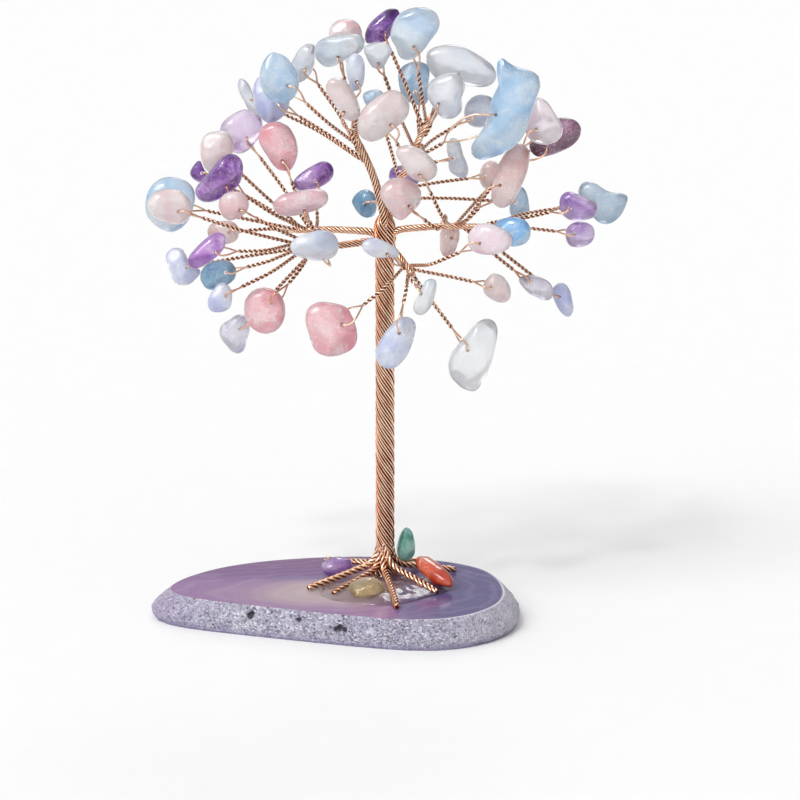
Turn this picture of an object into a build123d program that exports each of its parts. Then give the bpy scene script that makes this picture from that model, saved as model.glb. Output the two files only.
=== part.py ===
# Gemstone tree: drilled stone chips on twisted copper wire, rooted on a slice of agate.
# Millimetres. The origin is on the underside of the slice, straight below the trunk.
# X runs to the right of the front view, Y away from the viewer and Z up.
from build123d import *
from collections import namedtuple
from math import cos, pi, radians, sin, sqrt
import os

os.makedirs("parts", exist_ok=True)

# Agate slice: thickness, and how far the rough rind stands out past the polished face
slice_thick = 6.0
rind_out_across = 1.11
rind_out_deep = 1.06
rind_widest = 1.8
polished_outline = (
    (-43.0, -7.0), (-38.5, 2.5), (-28.0, 10.5), (-14.0, 14.5), (0.0, 15.0), (11.0, 12.3),
    (19.5, 6.5), (23.5, -4.0), (22.0, -18.0), (12.0, -27.0), (-5.0, -25.5), (-27.0, -18.0),
)

# Wire: one strand, the pair twisted from it, and the room a chip has on its loop
wire_d = 0.40
pair_d = 0.90
hole_d = 1.00
loop_clearance = 0.25
loop_bend = 0.60

# Trunk, limbs and roots: twisted bundles, each lobe a wire pair
trunk_height = 67.0
trunk_pairs = 13
trunk_pair_d = 0.76
trunk_lay = 16.0
limb_pairs = 4
limb_pair_d = 0.80
limb_lay = 6.0
root_pairs = 3
root_pair_d = 0.56
root_lay = 4.5
knot_height = 8.5
knot_swell = 1.22

# Chips: how full their sides are, where they are drilled and how far a free one swings
chip_fullness = 2.5
hole_place = 0.45
swing = 20.0

# Glue pool: its middle, spread and height
glue_middle = (-1.0, -7.5)
glue_size = (29.0, 23.0)
glue_height = 1.9

# Limbs: bearing round the knot in degrees, height share on the knot, the tip measured from the trunk top,
# and the share of the limb at which its first twig leaves
Limb = namedtuple("Limb", "bearing share x y z fork")
limbs = {
    "upper_left": Limb(270, 0.86, -6.3, -4.0, 25.3, 0.70),
    "upper_right": Limb(60, 0.86, 9.1, 3.0, 27.3, 0.50),
    "right": Limb(345, 0.58, 21.0, -5.0, 6.5, 0.50),
    "left_front": Limb(215, 0.36, -18.5, -9.0, 3.0, 0.68),
    "left_back": Limb(150, 0.50, -19.0, 6.0, 3.5, 0.66),
    "lower_right": Limb(305, 0.26, 5.9, -7.0, -3.2, 0.60),
    "back": Limb(110, 0.66, 4.0, 15.0, 14.0, 0.34),
}

# Crown chips: place from the trunk top, thickness, and whether the loop leaves the chip free to swing
Chip = namedtuple("Chip", "number stone limb x y z thick loose")
ROSE, AQUA, VIOLET, LACE, CLEAR = "rose_quartz", "aquamarine", "amethyst", "blue_lace", "clear_quartz"
chips = (
    Chip(1, ROSE, "upper_left", -8.0, 8.0, 43.0, 4.4, True),
    Chip(2, AQUA, "upper_left", -9.0, -3.0, 41.1, 4.2, False),
    Chip(6, LACE, "upper_left", -5.7, -11.0, 38.3, 3.2, False),
    Chip(7, CLEAR, "upper_left", -16.2, 10.0, 36.5, 3.8, False),
    Chip(8, AQUA, "upper_left", -20.5, -10.0, 36.9, 4.6, True),
    Chip(9, LACE, "upper_left", -22.5, 1.0, 30.9, 4.4, False),
    Chip(10, CLEAR, "upper_left", -27.2, 10.0, 29.7, 2.6, True),
    Chip(31, ROSE, "upper_left", -8.0, -15.0, 33.5, 4.0, False),
    Chip(3, VIOLET, "upper_right", -0.8, 6.0, 44.3, 4.2, True),
    Chip(4, AQUA, "upper_right", 5.4, -4.0, 44.5, 5.0, True),
    Chip(5, AQUA, "upper_right", -1.5, -9.0, 41.0, 3.4, False),
    Chip(34, AQUA, "upper_right", 5.8, 12.0, 32.3, 4.4, False),
    Chip(35, CLEAR, "upper_right", 15.2, 10.0, 36.0, 5.0, True),
    Chip(36, CLEAR, "upper_right", 11.9, -6.0, 33.0, 4.6, False),
    Chip(37, AQUA, "upper_right", 23.4, -13.5, 31.6, 5.2, False),
    Chip(38, LACE, "upper_right", 19.1, 13.0, 26.4, 4.0, False),
    Chip(43, LACE, "upper_right", 14.4, 4.0, 18.6, 3.2, False),
    Chip(32, ROSE, "upper_right", -0.2, -15.0, 30.4, 5.0, False),
    Chip(33, AQUA, "back", -2.2, 19.0, 28.0, 3.6, False),
    Chip(60, VIOLET, "back", 3.9, 24.0, 11.1, 3.6, False),
    Chip(46, AQUA, "back", -4.2, 16.5, 6.8, 4.2, False),
    Chip(42, ROSE, "back", 20.9, 13.0, 13.3, 3.8, False),
    Chip(47, AQUA, "back", 27.0, 14.0, 7.6, 3.6, False),
    Chip(39, CLEAR, "right", 31.2, 0.0, 26.6, 4.6, True),
    Chip(40, VIOLET, "right", 34.0, 11.0, 21.3, 4.4, True),
    Chip(41, ROSE, "right", 24.6, -9.0, 17.5, 4.6, False),
    Chip(44, ROSE, "right", 6.2, -16.0, 21.2, 4.0, False),
    Chip(45, ROSE, "right", 3.0, -12.0, 13.2, 5.0, False),
    Chip(48, AQUA, "right", 25.1, -10.5, 6.5, 3.8, False),
    Chip(49, ROSE, "lower_right", 20.5, -16.0, 6.3, 4.2, False),
    Chip(50, VIOLET, "right", 37.7, -9.0, 11.5, 3.8, True),
    Chip(51, AQUA, "right", 43.4, 6.0, 9.2, 4.4, True),
    Chip(52, VIOLET, "right", 38.6, 4.0, 3.2, 3.8, True),
    Chip(53, ROSE, "right", 12.9, 6.0, 1.4, 3.4, False),
    Chip(55, CLEAR, "right", 29.6, -8.0, -5.0, 3.4, True),
    Chip(56, LACE, "right", 35.2, -2.0, -8.8, 3.2, True),
    Chip(18, ROSE, "left_front", -29.2, -12.0, 12.1, 3.8, False),
    Chip(20, ROSE, "left_front", -41.8, -13.0, 12.0, 4.6, True),
    Chip(21, VIOLET, "left_front", -34.2, -17.0, 4.1, 4.0, True),
    Chip(22, LACE, "left_front", -39.4, -5.0, -1.6, 4.2, True),
    Chip(23, AQUA, "left_front", -32.4, -13.0, -1.4, 4.0, False),
    Chip(24, LACE, "left_front", -31.9, -17.0, -5.0, 3.4, True),
    Chip(25, VIOLET, "left_front", -29.6, -5.0, -15.1, 4.0, True),
    Chip(26, ROSE, "left_front", -23.2, -14.0, -8.5, 5.0, True),
    Chip(28, LACE, "left_front", -13.4, -13.2, 4.2, 4.6, False),
    Chip(29, LACE, "lower_right", -0.9, -11.0, 3.5, 3.2, False),
    Chip(11, VIOLET, "left_back", -29.0, 12.0, 22.6, 4.6, True),
    Chip(12, ROSE, "left_back", -20.7, -4.0, 22.3, 4.6, True),
    Chip(13, ROSE, "left_back", -33.0, 3.0, 20.0, 4.4, True),
    Chip(14, VIOLET, "left_back", -37.3, 12.0, 14.3, 3.4, False),
    Chip(15, VIOLET, "left_back", -32.5, -3.0, 15.8, 4.8, True),
    Chip(16, VIOLET, "left_back", -14.3, 15.0, 12.8, 4.0, False),
    Chip(17, ROSE, "left_back", -16.2, -9.0, 12.2, 4.0, False),
    Chip(19, AQUA, "left_back", -42.3, 5.0, 9.2, 5.0, True),
    Chip(30, ROSE, "left_back", -32.6, 13.0, 1.7, 3.8, False),
    Chip(27, ROSE, "lower_right", -10.3, -13.0, -12.3, 5.4, True),
    Chip(54, ROSE, "lower_right", 22.1, -4.0, -5.8, 4.0, True),
    Chip(57, AQUA, "lower_right", 8.0, -15.0, -5.4, 3.2, True),
    Chip(58, LACE, "lower_right", 2.0, -12.0, -15.2, 4.4, True),
    Chip(59, CLEAR, "lower_right", 17.2, -8.0, -18.5, 5.0, True),
)

# Chip outlines: points round each chip as the viewer sees it, from its middle, across and up
chip_outline = {
    1: ((-2.7, 1.0), (-1.4, 2.2), (0.6, 2.6), (2.6, 1.8), (3.5, 0.2), (3.3, -1.8), (0.6, -2.8), (-2.1, -2.2),
        (-3.0, -0.7)),
    2: ((-4.5, 0.7), (-3.2, 2.1), (-0.2, 2.8), (2.8, 3.3), (4.8, 2.7), (5.2, 1.2), (4.1, -0.5), (1.6, -1.8),
        (-0.2, -2.9), (-2.6, -3.3), (-4.2, -2.1)),
    3: ((-3.1, -1.6), (-2.2, 0.6), (-0.3, 2.4), (2.0, 3.6), (3.6, 3.2), (3.5, 1.4), (2.2, -0.9), (1.0, -2.8),
        (-1.3, -3.1), (-2.8, -3.2)),
    4: ((-2.5, 3.9), (-0.4, 4.9), (2.6, 5.0), (4.8, 3.9), (5.3, 1.7), (3.8, -1.1), (1.4, -4.1), (-0.7, -5.2),
        (-2.4, -4.7), (-3.2, -2.9), (-4.2, -1.0), (-3.9, 1.6)),
    5: ((-2.4, 1.5), (-0.9, 2.3), (1.8, 2.3), (2.9, 1.4), (2.2, -0.7), (0.7, -2.7), (-0.5, -2.5), (-1.9, -0.6)),
    6: ((-1.2, 2.4), (-0.1, 3.4), (1.2, 2.9), (1.9, 1.0), (1.8, -1.5), (1.0, -3.6), (0.0, -4.0), (-1.1, -2.5),
        (-1.6, 0.1)),
    7: ((0.7, 3.8), (2.2, 3.6), (2.5, 1.5), (1.5, -2.1), (-0.5, -3.8), (-1.7, -3.9), (-2.6, -1.0), (-1.5, 1.6)),
    8: ((-1.0, 4.8), (0.9, 4.3), (2.9, 2.4), (4.0, -0.5), (3.2, -3.8), (0.6, -5.1), (-2.6, -3.4), (-3.6, 0.2),
        (-2.8, 3.1)),
    9: ((-2.4, 4.0), (-3.3, 1.7), (-3.0, -1.0), (-1.9, -3.6), (-0.4, -4.8), (2.0, -4.1), (3.7, -1.6), (3.7, 1.2),
        (1.0, 3.9)),
    10: ((-1.5, 3.7), (-0.5, 3.3), (1.3, 0.1), (2.5, -2.8), (2.2, -3.8), (1.1, -3.5), (-0.9, -0.6), (-2.0, 2.4)),
    11: ((1.4, 4.3), (3.9, 3.2), (4.6, 0.2), (3.1, -2.5), (0.2, -4.6), (-2.3, -3.8), (-3.9, -1.5), (-3.6, 1.3),
         (-1.6, 3.2)),
    12: ((-1.1, 4.9), (1.3, 4.5), (3.1, 2.1), (3.8, -0.7), (3.1, -3.5), (1.9, -5.0), (-0.1, -4.6), (-2.4, -1.7),
         (-3.9, 1.6), (-3.2, 3.8)),
    13: ((-0.5, 4.0), (1.5, 4.0), (3.0, 2.3), (3.1, 0.0), (1.1, -3.0), (-1.2, -4.4), (-2.5, -3.3), (-3.4, -0.3),
         (-3.2, 2.0), (-2.2, 3.5)),
    14: ((0.2, 2.2), (1.0, 0.8), (1.6, -0.7), (0.5, -2.1), (-1.3, -1.3), (-1.7, -0.7), (-1.2, 1.0)),
    15: ((1.5, 4.7), (3.2, 4.7), (4.6, 3.3), (4.7, 1.0), (3.9, -1.3), (1.5, -3.3), (-1.5, -4.7), (-4.0, -4.2),
         (-4.7, -2.5), (-3.1, -0.2), (-0.8, 2.7)),
    16: ((2.6, 3.0), (3.8, 1.9), (3.9, 0.2), (2.2, -1.7), (-0.1, -2.7), (-3.4, -2.8), (-4.2, -1.7), (-2.8, 0.5),
         (-0.1, 2.3)),
    17: ((-4.7, 1.3), (-1.1, 2.1), (3.3, 2.3), (5.2, 1.3), (5.2, -0.1), (3.6, -1.4), (-0.1, -2.3), (-3.7, -2.4),
         (-5.4, -1.2), (-5.5, 0.1)),
    18: ((-2.1, 2.1), (-0.1, 2.8), (1.9, 2.4), (2.9, 0.8), (2.5, -1.1), (0.9, -2.4), (-1.5, -2.7), (-2.7, -1.2),
         (-2.9, 0.8)),
    19: ((-2.7, 4.7), (-0.1, 5.3), (2.4, 4.7), (4.4, 2.7), (4.3, -1.0), (2.6, -4.3), (-0.1, -5.7), (-2.7, -4.8),
         (-5.0, -2.3), (-5.0, 1.7)),
    20: ((-3.1, 2.6), (-0.7, 3.5), (1.9, 3.3), (3.9, 1.6), (4.4, -0.6), (3.6, -2.6), (1.4, -3.4), (-1.4, -2.5),
         (-3.6, -1.1), (-4.1, 0.8)),
    21: ((1.8, 3.6), (3.4, 3.2), (3.6, 1.6), (2.2, -0.7), (-0.5, -2.6), (-3.0, -3.3), (-3.8, -2.2), (-2.5, 0.4),
         (-0.3, 2.5)),
    22: ((-3.5, 2.8), (-2.4, 3.7), (-0.4, 3.5), (0.6, 1.8), (1.6, 0.3), (3.2, -0.8), (2.7, -1.9), (-0.1, -3.6),
         (-1.8, -3.1), (-2.9, -0.6)),
    23: ((-2.7, 1.6), (-0.6, 2.7), (2.3, 2.6), (3.5, 1.1), (3.3, -0.7), (1.4, -2.2), (-1.8, -2.9), (-3.2, -1.6),
         (-3.4, 0.3)),
    24: ((0.4, 2.9), (1.9, 2.1), (2.4, 0.1), (1.9, -2.0), (0.0, -2.9), (-1.9, -2.5), (-2.4, -1.1), (-1.4, 1.3)),
    25: ((-1.3, 2.8), (0.7, 3.9), (2.3, 3.4), (3.0, 1.5), (2.5, -1.2), (1.4, -3.6), (0.3, -3.9), (-1.5, -2.5),
         (-3.1, 0.0), (-2.7, 1.7)),
    26: ((-2.1, 4.3), (0.6, 4.6), (2.9, 3.3), (3.9, 0.6), (3.3, -2.4), (0.9, -4.3), (-1.7, -3.9), (-3.7, -1.9),
         (-4.2, 0.8), (-3.6, 3.0)),
    27: ((-4.7, 4.1), (-2.7, 5.4), (0.3, 5.2), (3.0, 4.2), (4.3, 1.9), (5.0, -0.8), (4.6, -3.1), (2.0, -4.9),
         (-1.0, -5.3), (-3.3, -4.1), (-4.5, -1.1), (-5.2, 1.6)),
    28: ((-5.0, 2.2), (-3.1, 4.0), (-0.1, 4.3), (2.6, 3.4), (4.2, 1.3), (4.6, -1.7), (3.7, -3.9), (1.2, -3.9),
         (-1.4, -2.7), (-4.0, -0.5)),
    29: ((-3.7, 0.9), (-2.3, 2.0), (-0.3, 1.9), (1.7, 0.9), (3.6, -0.8), (3.8, -1.6), (1.4, -2.0), (-1.3, -1.7),
         (-3.0, -0.6)),
    30: ((-2.4, 1.7), (-0.2, 2.3), (2.1, 2.1), (3.2, 0.5), (2.8, -1.4), (0.4, -2.4), (-2.2, -1.7), (-3.2, 0.1)),
    31: ((-3.2, 2.6), (-2.4, 4.0), (-0.9, 4.3), (0.6, 3.4), (2.0, 1.6), (3.0, -0.9), (3.3, -3.2), (1.9, -4.4),
         (0.1, -3.6), (-1.7, -0.7)),
    32: ((-0.7, 3.7), (2.0, 4.6), (4.0, 3.8), (5.2, 1.7), (4.5, -1.0), (2.2, -2.7), (-0.7, -4.5), (-3.0, -4.9),
         (-4.7, -3.7), (-5.2, -1.2), (-3.7, 1.8)),
    33: ((-2.1, 1.0), (-0.8, 1.6), (1.2, 1.6), (2.2, 0.3), (1.9, -1.6), (-0.1, -2.4), (-1.8, -1.2)),
    34: ((-2.9, 2.5), (-1.1, 3.9), (1.4, 4.1), (2.9, 3.2), (3.0, 0.5), (3.0, -2.5), (2.4, -4.2), (0.2, -4.4),
         (-2.0, -3.1), (-3.1, -0.1)),
    35: ((-6.8, 2.8), (-4.8, 3.9), (-2.0, 4.2), (1.0, 3.4), (4.2, 1.6), (6.4, -0.3), (7.0, -2.3), (6.0, -3.8),
         (2.7, -4.2), (-1.3, -3.5), (-5.1, -2.5), (-6.6, -0.5), (-7.1, 1.2)),
    36: ((-2.6, 2.8), (-0.5, 3.8), (2.0, 4.3), (3.6, 2.8), (3.7, 0.8), (3.1, -0.9), (3.2, -2.9), (1.7, -4.7),
         (-0.5, -4.7), (-2.3, -2.9), (-3.6, -0.7), (-3.6, 1.1)),
    37: ((-1.2, 9.7), (0.5, 8.7), (2.8, 7.8), (5.4, 7.1), (6.6, 5.5), (6.0, 2.3), (4.8, -1.5), (3.3, -5.7),
         (0.8, -8.4), (-2.5, -10.0), (-6.0, -10.3), (-6.8, -9.3), (-5.6, -6.0), (-3.6, -2.2), (-2.7, 1.8),
         (-1.3, 5.6), (-1.8, 8.6)),
    38: ((-3.1, 0.9), (-1.9, 2.6), (0.2, 3.3), (2.2, 2.6), (3.1, 0.2), (2.2, -2.3), (-0.1, -3.3), (-2.4, -2.6),
         (-3.3, -0.9)),
    39: ((-3.8, 1.2), (-2.6, 3.5), (-1.1, 4.6), (0.6, 3.8), (2.4, 1.2), (3.7, -1.3), (3.2, -3.4), (1.2, -4.5),
         (-0.9, -4.5), (-2.8, -3.5), (-3.9, -1.4)),
    40: ((0.8, 4.0), (2.6, 4.0), (4.4, 3.2), (5.2, 1.5), (4.3, -0.7), (1.6, -2.5), (-1.7, -3.6), (-4.1, -3.5),
         (-5.3, -1.7), (-4.3, 0.6), (-1.7, 2.8)),
    41: ((-0.4, 5.1), (1.6, 6.2), (3.3, 5.2), (3.6, 3.1), (2.8, -0.3), (1.4, -3.3), (-0.1, -5.6), (-1.9, -6.4),
         (-3.6, -5.3), (-3.7, -1.9), (-2.4, 2.2)),
    42: ((-2.0, 0.3), (-1.2, 2.2), (0.5, 3.0), (2.0, 2.2), (2.1, -0.5), (1.1, -2.8), (-0.2, -3.0), (-1.7, -1.7)),
    43: ((-2.1, 2.7), (-1.1, 3.9), (0.1, 3.5), (0.8, 1.9), (1.5, -0.3), (2.1, -2.8), (1.5, -3.9), (-0.2, -3.7),
         (-1.5, -2.7), (-1.9, -0.1)),
    44: ((-3.9, 2.5), (-2.6, 3.4), (-1.0, 3.5), (1.0, 2.6), (2.9, 0.9), (4.0, -1.1), (3.6, -2.6), (2.0, -3.6),
         (0.0, -3.5), (-1.8, -2.1), (-3.2, 0.4)),
    45: ((-3.9, 1.5), (-2.2, 3.9), (0.3, 4.4), (3.0, 3.2), (4.2, 1.2), (3.8, -0.8), (2.0, -2.6), (0.0, -3.9),
         (-1.6, -2.7), (-3.0, -0.6)),
    46: ((-2.5, 0.5), (-1.7, 2.0), (0.2, 3.0), (1.8, 2.3), (2.5, -0.2), (1.8, -2.4), (0.7, -2.7), (-1.7, -1.0)),
    47: ((0.5, 3.2), (1.5, 1.9), (2.0, -0.4), (1.8, -2.5), (0.0, -3.1), (-1.6, -2.7), (-2.0, -0.8), (-0.9, 1.9)),
    48: ((-3.6, 1.8), (-1.7, 2.8), (0.6, 3.0), (2.5, 2.2), (3.4, 0.3), (2.8, -1.7), (1.0, -2.7), (-2.0, -2.2),
         (-3.6, -0.2)),
    49: ((-4.2, 1.2), (-2.8, 2.7), (0.0, 3.0), (2.5, 2.0), (4.2, 0.3), (3.9, -1.3), (1.5, -2.8), (-1.5, -3.0),
         (-3.6, -2.2), (-4.4, -0.7)),
    50: ((-3.7, 0.5), (-3.1, 2.2), (-2.1, 2.7), (0.4, 2.0), (3.2, 0.5), (3.8, -1.0), (3.1, -2.2), (0.7, -2.8),
         (-1.9, -2.7), (-3.4, -1.2)),
    51: ((-5.0, 2.3), (-4.4, 3.7), (-3.2, 4.2), (-1.2, 3.6), (0.7, 2.4), (2.9, 1.9), (4.8, 1.3), (4.6, -0.5),
         (3.3, -2.9), (1.4, -4.2), (-0.6, -4.1), (-2.6, -2.2), (-4.3, 0.2)),
    52: ((-2.4, 1.3), (-0.8, 2.4), (1.2, 2.4), (2.7, 1.5), (3.1, -0.2), (2.3, -1.8), (0.2, -2.6), (-1.8, -2.3),
         (-2.7, -0.8)),
    53: ((-1.7, 2.4), (-0.5, 3.5), (1.5, 3.2), (1.9, 1.1), (1.3, -1.3), (0.0, -3.4), (-1.4, -3.2), (-1.9, -0.6)),
    54: ((-2.7, 0.2), (-1.8, 1.9), (-0.7, 2.7), (0.7, 2.4), (2.2, 0.9), (2.8, -1.1), (2.2, -2.7), (0.7, -3.1),
         (-1.3, -2.3), (-2.6, -0.9)),
    55: ((-3.3, 1.7), (-1.8, 2.4), (0.6, 2.1), (2.7, 1.0), (3.5, -0.7), (2.8, -2.4), (0.7, -2.2), (-1.3, -1.2),
         (-2.8, 0.4)),
    56: ((-2.1, 1.9), (-1.3, 3.1), (0.0, 3.3), (1.3, 2.1), (1.9, -0.1), (2.1, -2.2), (1.2, -3.4), (-0.2, -2.7),
         (-1.5, -0.6)),
    57: ((-2.4, -2.6), (-1.8, -0.4), (-0.6, 1.9), (0.8, 3.5), (1.9, 3.3), (2.1, 1.8), (1.5, -0.6), (0.4, -2.6),
         (-1.3, -3.5)),
    58: ((-3.8, -2.5), (-3.3, -0.3), (-1.6, 2.4), (0.6, 4.6), (2.7, 5.0), (4.0, 3.9), (3.8, 1.0), (2.9, -1.6),
         (1.2, -4.0), (-0.6, -5.1), (-2.8, -4.5)),
    59: ((-1.4, 3.6), (0.6, 6.0), (2.5, 7.1), (4.1, 6.8), (5.0, 5.0), (4.6, 1.5), (3.6, -2.5), (2.1, -5.6),
         (0.5, -7.4), (-1.4, -7.0), (-3.9, -5.0), (-4.7, -2.5), (-4.1, 0.2)),
    60: ((3.2, 0.3), (2.0, 2.1), (-0.6, 2.5), (-2.8, 1.5), (-3.2, -0.4), (-1.9, -2.2), (0.8, -2.4), (2.7, -1.5)),
    61: ((3.4, 0.3), (2.2, 1.3), (0.2, 1.8), (-1.8, 1.8), (-3.2, 1.0), (-3.4, -0.4), (-2.2, -1.7), (-0.2, -1.8),
         (1.8, -1.3), (3.1, -0.5)),
    62: ((5.5, -0.4), (4.6, 0.9), (1.5, 1.7), (-2.5, 2.1), (-5.0, 1.2), (-5.3, -0.6), (-3.6, -1.8), (0.5, -2.1),
         (4.0, -1.6)),
    63: ((3.1, 0.4), (2.0, 1.7), (-0.5, 2.1), (-2.6, 1.4), (-3.2, -0.2), (-2.2, -1.7), (0.4, -2.1), (2.5, -1.2)),
    64: ((3.4, 0.5), (2.0, 2.2), (-0.8, 2.5), (-3.0, 1.5), (-3.5, -0.6), (-2.0, -2.3), (0.9, -2.4), (3.0, -1.2)),
}

# Roots: where the tip lies in plan, and the height and bearing at which the root leaves the collar
Root = namedtuple("Root", "x y leaves bearing")
roots = (
    Root(-15.4, -8.8, 2.9, 197), Root(-10.3, -12.5, 2.0, 228), Root(-12.3, 11.0, 2.2, 135),
    Root(2.4, -21.4, 1.9, 262), Root(10.4, -11.5, 2.7, 297), Root(14.3, 3.9, 2.3, 18), Root(7.6, 10.0, 2.3, 58),
)
collar_height = 5.0
collar_spread = 1.7


def on_glue(across, deep):
    """A place on the glue pool, given as shares of its spread."""
    return glue_middle[0] + across * glue_size[0], glue_middle[1] + deep * glue_size[1]


# Base chips: place from the trunk foot, thickness, the way the long side points and the way the broad face looks
BaseChip = namedtuple("BaseChip", "number x y z thick lie face")
base_chips = {
    "base_aventurine": BaseChip(61, 4.3, 2.0, 6.6, 3.2, (0.1, 0.1, 1), (0.2, -1, 0.1)),
    "base_carnelian": BaseChip(62, *on_glue(0.38, 0.09), 2.9, 3.4, (0.66, -0.73, -0.18), (0.3, -0.2, 1)),
    "base_amethyst": BaseChip(63, *on_glue(-0.30, 0.37), 2.1, 3.6, (0.95, 0.1, 0.25), (0, -0.4, 1)),
    "base_citrine": BaseChip(64, *on_glue(-0.09, -0.24), 2.0, 3.4, (1, -0.1, 0.1), (0, -0.3, 1)),
}


def ring_radius(pairs, pair):
    """Radius of the ring on which the middles of the outer pairs of a bundle lie."""
    return 0.97 * 0.5 * pair / sin(pi / pairs)


def bundle_radius(pairs, pair):
    return ring_radius(pairs, pair) + 0.5 * pair


def lobed(pairs, pair):
    """Outline of a bundle: one arc for each wire pair, meeting in the grooves between them."""
    middle = ring_radius(pairs, pair)
    half = pi / pairs
    groove = middle * cos(half) + sqrt(0.25 * pair * pair - (middle * sin(half)) ** 2)
    arcs = []
    for k in range(pairs):
        turn = 2 * pi * k / pairs
        arcs.append(ThreePointArc(
            (groove * cos(turn - half), groove * sin(turn - half)),
            ((middle + 0.5 * pair) * cos(turn), (middle + 0.5 * pair) * sin(turn)),
            (groove * cos(turn + half), groove * sin(turn + half)),
        ))
    return Wire(arcs)


def bundle(pairs, pair, lay, start, end):
    """A straight twisted bundle from start to end."""
    run = end - start
    turned = Solid.extrude_linear_with_rotation(
        lobed(pairs, pair), (0, 0, 0), (0, 0, run.length), -360 * run.length / lay
    )
    return Plane(origin=start, z_dir=run) * turned


def rim(chip, scale=1.0):
    """The smooth line round a chip in its own plane."""
    return Spline(*[(x * scale, y * scale) for x, y in chip_outline[chip.number]], periodic=True)


def pebble(chip):
    """A tumbled chip: its outline drawn in towards both broad faces."""
    sections = []
    for level in (-0.96, -0.7, 0.0, 0.7, 0.96):
        scale = (1 - abs(level) ** chip_fullness) ** (1 / chip_fullness)
        sections.append(Plane.XY.offset(0.5 * level * chip.thick) * make_face(rim(chip, scale)))
    return loft(sections)


def square_to(direction, axis):
    """The part of a direction that is square to an axis, as a unit vector."""
    return (direction - axis * direction.dot(axis)).normalized()


# Levels that the pieces share
slice_top = slice_thick
trunk_top = slice_top + trunk_height
trunk_r = bundle_radius(trunk_pairs, trunk_pair_d)
limb_r = bundle_radius(limb_pairs, limb_pair_d)
root_r = bundle_radius(root_pairs, root_pair_d)


def limb_ends(limb):
    """Where a limb leaves the knot, half sunk in it, and where it ends."""
    turn = radians(limb.bearing)
    out = 0.72 * trunk_r
    base = Vector(out * cos(turn), out * sin(turn), trunk_top + limb.share * knot_height)
    return base, Vector(limb.x, limb.y, trunk_top + limb.z)


def leaving_order(name):
    """The chips of a limb, those whose twigs turn back most first."""
    base, tip = limb_ends(limbs[name])
    run = (tip - base).normalized()
    own = [chip for chip in chips if chip.limb == name]
    return sorted(own, key=lambda chip: (Vector(chip.x, chip.y, trunk_top + chip.z) - tip).normalized().dot(run))


# Where each chip hangs: twig start, its run into the chip, the hole and the loop's reach
Place = namedtuple("Place", "start run facing hole reach plane")


def set_out(chip):
    base, tip = limb_ends(limbs[chip.limb])
    order = [other.number for other in leaving_order(chip.limb)]
    fork = limbs[chip.limb].fork
    share = fork + (1 - fork) * order.index(chip.number) / (len(order) - 1)
    middle = Vector(chip.x, chip.y, trunk_top + chip.z)
    on_limb = base + (tip - base) * share
    start = on_limb + square_to(middle - on_limb, (tip - base).normalized()) * (0.9 * limb_r)
    way = middle - start
    run = Vector(way.X, 0.25 * way.Y, way.Z).normalized()
    look = radians(14 * sin(2.4 * chip.number))
    facing = square_to(Vector(sin(look), -cos(look), 0.15), run)
    plane = Plane(origin=middle, x_dir=square_to(Vector(1, 0, 0), facing), z_dir=facing)
    back = -run
    line = rim(chip)
    spots = [line @ (k / 180) for k in range(180)]
    edge = [plane.x_dir * spot.X + plane.y_dir * spot.Y for spot in spots]
    near = min(edge, key=lambda point: point.get_angle(back)).length
    hole = middle + back * (hole_place * near)
    around = [middle + point - hole for point in edge]
    reach = max(point.length for point in around if point.get_angle(back) < swing + 14)
    return Place(start, run, facing, hole, reach, plane)


def drilled(chip, place):
    """A crown chip in its place with its hole."""
    drill = Plane(origin=place.hole, z_dir=place.facing) * Cylinder(0.5 * hole_d, 3 * chip.thick)
    return (place.plane * pebble(chip) - drill).solid()


def twig(chip, place):
    """The wire of one chip: a twisted pair from the limb that opens into a loop through the hole."""
    side = 0.5 * chip.thick + loop_clearance + 0.5 * wire_d
    near = 0.5 * wire_d + 0.015
    apex = place.reach + 0.35 * chip.thick + 0.6

    def spot(along, out):
        return place.hole + place.run * along + place.facing * out

    bends = (loop_bend * 0.5, loop_bend, loop_bend, loop_bend, loop_bend, loop_bend * 0.5)
    loop_path = FilletPolyline(
        spot(-apex - wire_d, near), spot(-apex + 0.3, near), spot(-0.95 * place.reach, side), spot(0, side),
        spot(0, -side), spot(-0.95 * place.reach, -side), spot(-apex + 0.3, -near), spot(-apex - wire_d, -near),
        radius=bends,
    )
    loop = sweep(Plane(origin=loop_path @ 0, z_dir=loop_path % 0) * Circle(0.5 * wire_d), path=loop_path)
    end = spot(-apex, 0)
    span = (end - place.start).length
    elbow = end - place.run * (0.45 * span)
    turn = (elbow - place.start).get_angle(place.run)
    if turn > 1.5:
        shorter = min((elbow - place.start).length, 0.45 * span)
        bend = 0.45 * shorter / (sin(radians(turn / 2)) / cos(radians(turn / 2)))
        stem_path = FilletPolyline(place.start, elbow, end, radius=bend)
    else:
        stem_path = Line(place.start, end)
    stem = sweep(Plane(origin=stem_path @ 0, z_dir=stem_path % 0) * Circle(0.5 * pair_d), path=stem_path)
    return (stem + loop).solid()


def save(name, solids):
    export_step(Compound(children=list(solids)), f"parts/{name}.step")


# Agate slice: polished face on top, a rough rind that swells out below it and a sawn flat underside
middle_x = sum(x for x, y in polished_outline) / len(polished_outline)
middle_y = sum(y for x, y in polished_outline) / len(polished_outline)


def slice_section(level, across, deep):
    points = [(middle_x + (x - middle_x) * across, middle_y + (y - middle_y) * deep) for x, y in polished_outline]
    return Plane.XY.offset(level) * make_face(Spline(*points, periodic=True))


agate_slice = loft([
    slice_section(0, 0.97 * rind_out_across, 0.97 * rind_out_deep),
    slice_section(rind_widest, rind_out_across, rind_out_deep),
    slice_section(slice_top, 1.0, 1.0),
])
save("agate_slice", [agate_slice.solid()])

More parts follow.
